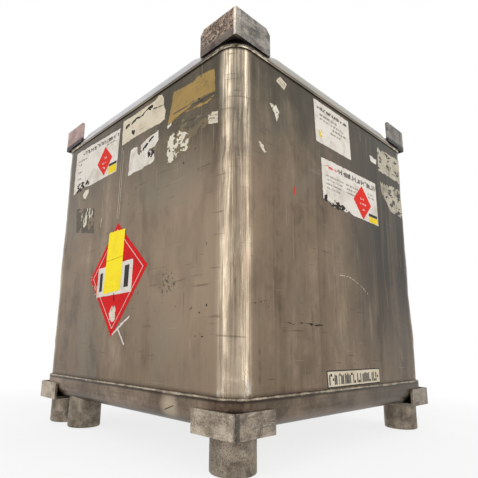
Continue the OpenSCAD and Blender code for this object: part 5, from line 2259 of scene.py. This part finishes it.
@dataclass(frozen=True)
class Films:
    """Everything stuck or smeared on the walls: labels, a taped placard, glue and scratches.

    The labels carry plain ticks and plain diamonds in place of words, numbers and signs.

    Attributes:
        front: Sticks films on the front wall.
        right: Sticks films on the right wall.
        papers: The films' finishes.
    """

    front: Sticker
    right: Sticker
    papers: Papers

    def build(self) -> None:
        """Makes the films of both labelled walls."""
        self._front_labels()
        self._front_papers()
        self._placard()
        self._right_labels()
        self._right_papers()
        self._nicks()

    def _front_labels(self) -> None:
        """The two labels under the lap on the front wall."""
        p, wall = self.papers, self.front
        first = ((-429, 1109), (-71, 1096), (-81, 927), (-424, 931))
        wall.add("label_1", (
            (-429, 1109), (-71, 1096), (-81, 927), (-300, 926), (-330, 930), (-372, 936),
            (-392, 934), (-410, 924), (-432, 918), (-431, 950)), p.white, torn=2.2)
        wall.ticks("label_1_title", first, ((0.17, 0.97, 0.07, 0.095),), p.ink, pitch=7)
        wall.ticks("label_1_text", first, (
            (0.05, 0.27, 0.24, 0.05), (0.06, 0.14, 0.33, 0.05), (0.74, 0.92, 0.2, 0.04),
            (0.06, 0.17, 0.52, 0.05), (0.06, 0.15, 0.7, 0.04)), p.grey_ink, pitch=5)
        wall.add("label_1_wear", (
            (-415, 918), (-408, 950), (-379, 962), (-348, 960), (-317, 955), (-290, 942),
            (-298, 931), (-335, 930), (-372, 922)), p.smear, 2, 4, 0.5, (50, 80))
        wall.diamond("label_1_diamond", (-177, 997), (58, 60), p.red, 2, 0.9)
        wall.ticks("label_1_chart", first, (
            (0.695, 0.745, 0.5, 0.05), (0.665, 0.745, 0.62, 0.04), (0.685, 0.725, 0.74, 0.05)),
            p.white, 3, 6)
        wall.add("label_1_strip", ((-140, 973), (-84, 971), (-84, 961), (-140, 963)), p.ink, 2)
        wall.add("label_1_patch", ((-140, 962), (-84, 960), (-85, 930), (-141, 932)), p.yellow, 2)
        wall.add("label_1_flake", (
            (-328, 914), (-296, 912), (-291, 900), (-307, 879), (-330, 878), (-342, 895)), p.torn,
            torn=3.5)
        wall.add("label_2", (
            (-50, 1116), (-15, 1114), (30, 1113), (73, 1115), (114, 1114), (154, 1115),
            (173, 1126), (190, 1121), (203, 1101), (203, 1078), (214, 1053), (212, 1022),
            (190, 1017), (142, 1020), (17, 1022), (-51, 1018), (-52, 1060)), p.cream, torn=2)
        scrape = ((-30, 1082), (-12, 1087), (6, 1082), (22, 1088), (40, 1094), (58, 1088),
                  (78, 1091), (98, 1099), (118, 1102), (140, 1100))
        wall.add("label_2_scrape", ribbon(scrape, 7), p.smear, 2, 4.4)
        wall.add("label_2_nick", (
            (104, 1108), (140, 1106), (146, 1094), (128, 1089), (108, 1097)), p.smear, 2, 3, 0.35,
            (90, 90))
        wall.add("label_2_crease", (
            (143, 1090), (176, 1083), (203, 1079), (203, 1076), (176, 1080), (144, 1086)), p.smear,
            2, 1.2)
        wall.add("label_2_spot", (
            (11, 1056), (22, 1058), (34, 1049), (31, 1035), (20, 1033), (10, 1046)), p.smear, 2,
            3.5, 0.2, (80, 80))

    def _front_papers(self) -> None:
        """Torn papers, glue and flakes on the front wall."""
        p, wall = self.papers, self.front
        wall.add("torn_paper_1", (
            (14, 975), (30, 982), (52, 978), (60, 955), (72, 938), (80, 948), (78, 976),
            (100, 986), (125, 991), (154, 991), (179, 995), (181, 957), (162, 943), (130, 942),
            (151, 926), (164, 904), (162, 889), (94, 886), (7, 884), (9, 941)), p.white, torn=4)
        wall.add("torn_paper_1_rip", (
            (78, 952), (104, 966), (128, 978), (156, 987), (154, 980), (130, 970), (108, 956),
            (84, 944)), p.smear, 2, 2.4, 0.1, (80, 80))
        wall.add("torn_paper_1_gap", (
            (122, 938), (150, 944), (158, 922), (146, 908), (126, 914)), p.smear, 2, 5, 0.45,
            (60, 60))
        wall.add("glue_1", (
            (257, 1101), (300, 1096), (350, 1092), (373, 1100), (404, 1096), (448, 1091),
            (450, 1050), (451, 1016), (413, 1020), (383, 1018), (337, 1012), (296, 1008),
            (263, 998), (230, 994), (239, 1037), (250, 1074)), p.glue, torn=3.5)
        wall.add("glue_1_low", (
            (384, 1013), (443, 1004), (457, 1006), (443, 998), (422, 991), (377, 996), (329, 1000),
            (288, 1002), (239, 992)), p.glue, 1, 3, 0.35, (14, 70))
        wall.add("glue_1_streaks", (
            (260, 1030), (320, 1040), (400, 1030), (452, 1010), (400, 1008), (330, 1005),
            (250, 1000)), p.stain, 2, 4, 0.78, (6, 150))
        wall.add("glue_1_spot", (
            (378, 1024), (398, 1016), (396, 1007), (380, 1014)), p.smear, 2, 2.5)
        wall.add("glue_2", (
            (255, 989), (306, 986), (355, 973), (401, 962), (437, 952), (430, 931), (385, 905),
            (358, 884), (343, 867), (312, 861), (263, 852), (234, 846), (229, 940)), p.haze, 1, 7,
            0.34, (20, 26))
        wall.add("glue_2_streaks", (
            (260, 988), (355, 976), (437, 956), (434, 925), (360, 930), (290, 958)), p.stain, 2, 5,
            0.72, (8, 120))
        wall.add("flakes_1", (
            (240, 950), (266, 955), (291, 952), (308, 940), (337, 926), (344, 909), (336, 896),
            (340, 882), (327, 876), (311, 874), (295, 876), (279, 868), (262, 857), (239, 848),
            (229, 862), (232, 903), (230, 925)), p.torn, 2, 6, 0.4, (50, 50))
        tag = ((426, 959), (466, 945), (466, 910), (427, 920))
        wall.add("tag_1", tag, p.cream, torn=1.5)
        wall.ticks("tag_1_text", tag, (
            (0.12, 0.86, 0.18, 0.16), (0.12, 0.86, 0.46, 0.16), (0.12, 0.7, 0.7, 0.12)),
            p.grey_ink, pitch=5)
        wall.add("glue_chip", ((228, 990), (252, 996), (248, 986), (230, 978)), p.white, 2, 1.5)
        wall.add("smear_1", (
            (-393, 850), (-236, 816), (-224, 715), (-373, 742)), p.stain, 1, 3, 0.1, (26, 26))
        wall.add("smear_1_paper", (
            (-345, 838), (-250, 822), (-244, 800), (-262, 766), (-300, 752), (-336, 762)), p.torn,
            2, 3, 0.5, (95, 24))
        drips = [((left, top), (left + 2, top), (left - 1, 860), (left - 4, 735),
                  (left - 6, 735), (left - 3, 860)) for left, top in ((-49, 1010), (-37, 995))]
        wall.stick("drip_1", drips, p.scratch)
        wall.add("drip_2", ((-172, 760), (-166, 762), (-168, 735), (-172, 722)), p.scratch, 1, 1.5)

    def _placard(self) -> None:
        """A worn red diamond with a white border, a white panel and yellow tape."""
        p, wall = self.papers, self.front
        corners = ((-44, 719), (-218, 533), (-43, 324), (152, 546))
        wall.add("placard", corners, p.placard_red, torn=1.8)
        middle = (-36, 531)

        def ring(share: float) -> list[Point2]:
            """The placard's outline, drawn in toward its middle."""
            return [tuple(m + (c - m) * share for c, m in zip(corner, middle))
                    for corner in corners]

        rim, inner = ring(0.88), ring(0.862)
        lines = tuple((rim[i - 1], rim[i], inner[i], inner[i - 1]) for i in (1, 2, 3, 0))
        wall.stick("placard_line", lines, p.white, 2)
        wall.add("placard_wear", (
            (-225, 540), (-180, 555), (-165, 480), (-130, 440), (-142, 424), (-185, 480)), p.worn,
            2, 3, 0.95, (80, 80))
        wall.add("placard_panel", (
            (-157, 566), (69, 577), (66, 467), (-163, 462)), p.white, 3, 1.4)
        wall.add("panel_bar_1", ((-143, 547), (-124, 548), (-126, 482), (-145, 481)), p.ink, 4)
        wall.add("panel_bar_2", ((20, 559), (48, 560), (45, 486), (18, 485)), p.ink, 4)
        wall.add("placard_tape", (
            (-98, 692), (9, 690), (-3, 479), (-50, 474), (-115, 471)), p.tape, 5, 1.6)
        wall.add("tape_fold", ((-105, 588), (4, 596), (4, 593.5), (-105, 585)), p.fold, 6, 0.8)
        wall.add("placard_scrap", (
            (-64, 402), (-50, 428), (-34, 431), (-22, 414), (-26, 382), (-40, 371), (-56, 376)),
            p.torn, 3, 3, 0.08, (60, 60))
        wall.add("placard_tear", ((-45, 470), (-38, 470), (-36, 440), (-42, 440)), p.smear, 3, 1.5)
        wall.add("chalk_1", (
            (-36, 327), (15, 358), (66, 387), (62, 391), (10, 364), (-38, 332)), p.white, 2, 1.5)
        wall.add("chalk_2", ((-6, 348), (38, 296), (43, 299), (0, 350)), p.white, 2, 1.5)

    def _right_labels(self) -> None:
        """The labels of the right wall."""
        p, wall = self.papers, self.right
        upper = ((-157, 1120), (66, 1120), (73, 968), (-150, 968))
        wall.add("label_3", upper, p.white, torn=1.2)
        wall.ticks("label_3_title", upper, ((0.08, 0.92, 0.11, 0.08),), p.ink, pitch=5)
        wall.ticks("label_3_text", upper, (
            (0.14, 0.62, 0.27, 0.06), (0.14, 0.8, 0.38, 0.05), (0.48, 0.88, 0.48, 0.05),
            (0.4, 0.72, 0.59, 0.05)), p.grey_ink, pitch=5)
        wall.add("label_3_spot", (
            (-136, 1018), (-112, 1020), (-110, 996), (-130, 990)), p.yellow, 2, 2.5, 0.2)
        lower = ((-125, 918), (249, 926), (256, 755), (-120, 759))
        wall.add("label_4", (
            (-125, 918), (249, 926), (256, 755), (60, 757), (40, 766), (20, 757), (-20, 764),
            (-60, 758), (-85, 772), (-122, 774)), p.white, torn=2)
        wall.ticks("label_4_title", lower, ((0.26, 0.97, 0.08, 0.12),), p.ink, pitch=8)
        wall.ticks("label_4_text", lower, (
            (0.06, 0.36, 0.34, 0.035), (0.4, 0.62, 0.34, 0.035), (0.06, 0.34, 0.43, 0.035),
            (0.4, 0.6, 0.43, 0.035), (0.06, 0.32, 0.52, 0.035), (0.4, 0.58, 0.52, 0.035),
            (0.06, 0.28, 0.61, 0.035), (0.82, 0.94, 0.32, 0.03), (0.82, 0.94, 0.4, 0.03)),
            p.grey_ink, pitch=4.5)
        wall.ticks("label_4_mark", lower, ((0.05, 0.24, 0.13, 0.06),), p.red, pitch=6)
        wall.diamond("label_4_diamond", (139, 822), (65, 65), p.red, 2, 0.9)
        wall.ticks("label_4_chart", lower, (
            (0.66, 0.74, 0.5, 0.05), (0.65, 0.76, 0.62, 0.04), (0.68, 0.74, 0.74, 0.05)), p.white,
            3, 6)
        wall.add("label_4_strip", ((183, 791), (247, 791), (247, 780), (183, 780)), p.ink, 2)
        wall.add("label_4_patch", ((183, 779), (247, 779), (247, 758), (183, 758)), p.yellow, 2)
        wall.add("label_4_wear", (
            (-115, 800), (-98, 822), (-85, 792), (-50, 784), (10, 778), (36, 764), (-20, 758),
            (-80, 758), (-118, 770)), p.smear, 2, 5, 0.52, (60, 60))
        low = ((-141, 233), (187, 233), (188, 184), (-138, 182))
        wall.add("label_5_border", low, p.ink)
        wall.add("label_5", panel(low, 0.012, 0.07, 0.988, 0.93), p.cream, 2)
        wall.ticks("label_5_text", low, ((0.03, 0.965, 0.19, 0.64),), p.ink, 3, 8)

    def _right_papers(self) -> None:
        """Torn papers, flakes and scratches of the right wall."""
        p, wall = self.papers, self.right
        tag = ((-337, 1116), (-303, 1104), (-317, 1078), (-356, 1092))
        wall.add("tag_2", tag, p.cream, torn=1.5)
        wall.ticks("tag_2_text", tag, (
            (0.1, 0.9, 0.2, 0.16), (0.1, 0.9, 0.52, 0.16)), p.grey_ink, pitch=5)
        wall.add("flake_2", (
            (-392, 1004), (-360, 1010), (-342, 992), (-350, 968), (-356, 956), (-366, 980)),
            p.torn, 1, 2, 0.22, (90, 150))
        wall.add("flake_3", (
            (-440, 866), (-420, 860), (-405, 843), (-414, 836), (-434, 848)), p.torn, 1, 1.5, 0.25,
            (120, 120))
        wall.add("tag_3", ((220, 1037), (275, 1034), (268, 1010), (224, 1014)), p.white, torn=2.5)
        wall.add("torn_paper_2", (
            (290, 1093), (487, 1097), (476, 985), (400, 990), (285, 992)), p.worn, 1, 4, 0.16,
            (34, 60))
        wall.add("torn_paper_3", (
            (297, 948), (476, 957), (476, 833), (360, 840), (344, 870), (300, 900)), p.worn, 1, 4,
            0.26, (34, 60))
        arc = ((-45, 530), (-8, 532), (28, 528), (65, 518), (102, 504), (138, 484))
        wall.add("arc_scratch", ribbon(arc, 2.2), p.scratch, torn=1.2)
        wall.add("red_mark", ((-279, 772), (-275, 772), (-277, 744), (-281, 742)), p.red, torn=1.2)

    def _nicks(self) -> None:
        """Scuffs, gouges and short scratches in the sheet itself."""
        p, front, right = self.papers, self.front, self.right
        lines = (
            ("gouge_1", right, ((-341, 367), (-316, 365), (-291, 361)), 2.2, p.smear),
            ("gouge_2", right, ((-405, 400), (-397, 424), (-392, 438)), 5.0, p.stain),
            ("gouge_3", right, ((-460, 409), (-411, 420)), 1.6, p.smear),
            ("gouge_4", front, ((386, 326), (394, 325)), 3.4, p.smear),
            ("gouge_5", front, ((414, 324), (423, 323)), 3.4, p.smear),
            ("gouge_6", front, ((431, 404), (435, 404)), 7.0, p.smear),
            ("gouge_7", front, ((402, 386), (408, 385)), 4.0, p.smear),
        )
        for name, wall, line, width, material in lines:
            wall.add(name, ribbon(line, width), material, torn=1.2)
        right.add("gouge_8", (
            (-276, 367), (-252, 369), (-214, 368), (-150, 366), (-152, 363), (-196, 361),
            (-235, 364)), p.smear, 1, 2.5, 0.22, (24, 190))
        front.add("scuff_1", (
            (214, 474), (246, 520), (310, 500), (290, 450), (240, 448)), p.stain, 1, 4, 0.84,
            (150, 90))


# ---------- Studio ----------


@dataclass(frozen=True)
class Studio:
    """A pale floor, a white surround and large soft lamps."""

    key: float = 9.0
    fill: float = 7.0
    front: float = 34.0
    side: float = 32.0

    def build(self) -> None:
        """Makes the floor, the surround and the lamps."""
        corners = [Vector((x, y, -0.001)) for x, y in ((-9, -9), (9, -9), (9, 9), (-9, 9))]
        floor = new_object("studio_floor", corners, [(0, 1, 2, 3)])
        paint(floor, self._floor_paint())
        self._world()
        self._lamp("key", (-2.7, -2.7, 1.5), (0, 0, 0.6), (2.6, 2.6), self.key)
        self._lamp("fill", (3.4, 1.6, 1.6), (0, 0, 0.6), (1.8, 2.4), self.fill)
        self._lamp("panel_front", (0.78, -3.3, 1.9), (0.5, -0.5, 0.75), (1.6, 3.8), self.front)
        self._lamp("panel_side", (3.3, 0.25, 1.9), (0.5, -0.5, 0.75), (1.1, 3.8), self.side)

    def _floor_paint(self) -> Material:
        """A pale floor that keeps the object's shadow and turns white with distance."""
        g = Graph("pale_floor")
        grain = g.cloud((3, 3, 3), detail=3)
        g.colour = g.mix(grain, (0.86, 0.86, 0.86), (0.90, 0.90, 0.90))
        g.finish(0.7, metal=0.0)
        x, y, _ = g.axes()
        away = g.away(x, y)
        path = g.add("ShaderNodeLightPath")
        shown = g.most(path["Is Camera Ray"], path["Is Glossy Ray"])
        glow = g.add("ShaderNodeEmission", {"Color": (1.0, 1.0, 1.0)})
        share = g.band(away, 0.8, 2.0, 0.80, 1.0) * shown
        blend = g.add("ShaderNodeMixShader", {0: share, 1: Value(g, g.shader.outputs[0]), 2: glow})
        g.set(g.nodes["Material Output"].inputs["Surface"], blend)
        return g.material

    def _world(self) -> None:
        """White to the camera, to metal and through glass, and plainer for the rest."""
        world = bpy.data.worlds.new("white_surround")
        bpy.context.scene.world = world
        world.use_nodes = True
        t = Tree(world.node_tree)
        path = t.add("ShaderNodeLightPath")
        shown = t.most(t.most(path["Is Camera Ray"], path["Is Glossy Ray"]),
                       path["Is Transmission Ray"])
        level = t.add("ShaderNodeMapRange", {"Value": shown, "To Min": 0.62, "To Max": 1.0})
        background = t.nodes["Background"]
        t.set(background.inputs["Color"], (1.0, 1.0, 1.0))
        t.set(background.inputs["Strength"], level)

    @staticmethod
    def _lamp(name: str, at: Triple, aim: Triple, size: Point2, power: float) -> None:
        """A rectangular soft lamp."""
        light = bpy.data.lights.new(name, "AREA")
        light.shape = "RECTANGLE"
        light.size, light.size_y = size
        light.energy = power
        lamp = bpy.data.objects.new(name, light)
        lamp.location = at
        lamp.rotation_euler = (Vector(aim) - Vector(at)).to_track_quat("-Z", "Y").to_euler()
        bpy.context.scene.collection.objects.link(lamp)


@dataclass(frozen=True)
class Viewpoint:
    """The camera: low in front of the near corner, looking slightly up."""

    at: Triple = (1.265668, -1.284772, 0.306388)
    yaw: float = math.radians(47.009)
    pitch: float = math.radians(12.323)
    roll: float = math.radians(0.89)
    lens: float = 32.34
    shift: Point2 = (0.0515, 0.0226)

    def build(self) -> None:
        """Makes the camera and makes it the scene's."""
        forward = Vector((-math.sin(self.yaw) * math.cos(self.pitch),
                          math.cos(self.yaw) * math.cos(self.pitch), math.sin(self.pitch)))
        across = Vector((math.cos(self.yaw), math.sin(self.yaw), 0))
        upward = across.cross(forward)
        right = across * math.cos(self.roll) + upward * math.sin(self.roll)
        up = upward * math.cos(self.roll) - across * math.sin(self.roll)
        data = bpy.data.cameras.new("camera")
        data.lens = self.lens
        data.sensor_width = 36.0
        data.shift_x, data.shift_y = self.shift
        camera = bpy.data.objects.new("camera", data)
        turn = Matrix((right, up, -forward)).transposed()
        camera.matrix_world = Matrix.Translation(self.at) @ turn.to_4x4()
        bpy.context.scene.collection.objects.link(camera)
        bpy.context.scene.camera = camera


def main() -> None:
    """Builds the container, the studio and the camera."""
    logging.basicConfig(level=logging.INFO, format="%(name)s: %(message)s")
    sizes = TankSizes.from_frame()
    outline = Outline(sizes)
    wear = WallWear(sizes)
    finishes = Finishes.build(sizes)
    Viewpoint().build()
    TankShell(sizes, outline, wear).build(finishes)
    TopHead(sizes, outline).build(finishes)
    BottomPan(sizes, outline).build(finishes)
    Welds(sizes, outline).build(finishes)
    TubeFeet(sizes).build(finishes)
    Lugs().build(finishes)
    Fittings().build(finishes)
    Films(Sticker(Wall.FRONT, sizes, wear), Sticker(Wall.RIGHT, sizes, wear),
          Papers.build()).build()
    Studio().build()
    bpy.context.scene.view_settings.view_transform = "Standard"


if __name__ == "__main__":
    main()
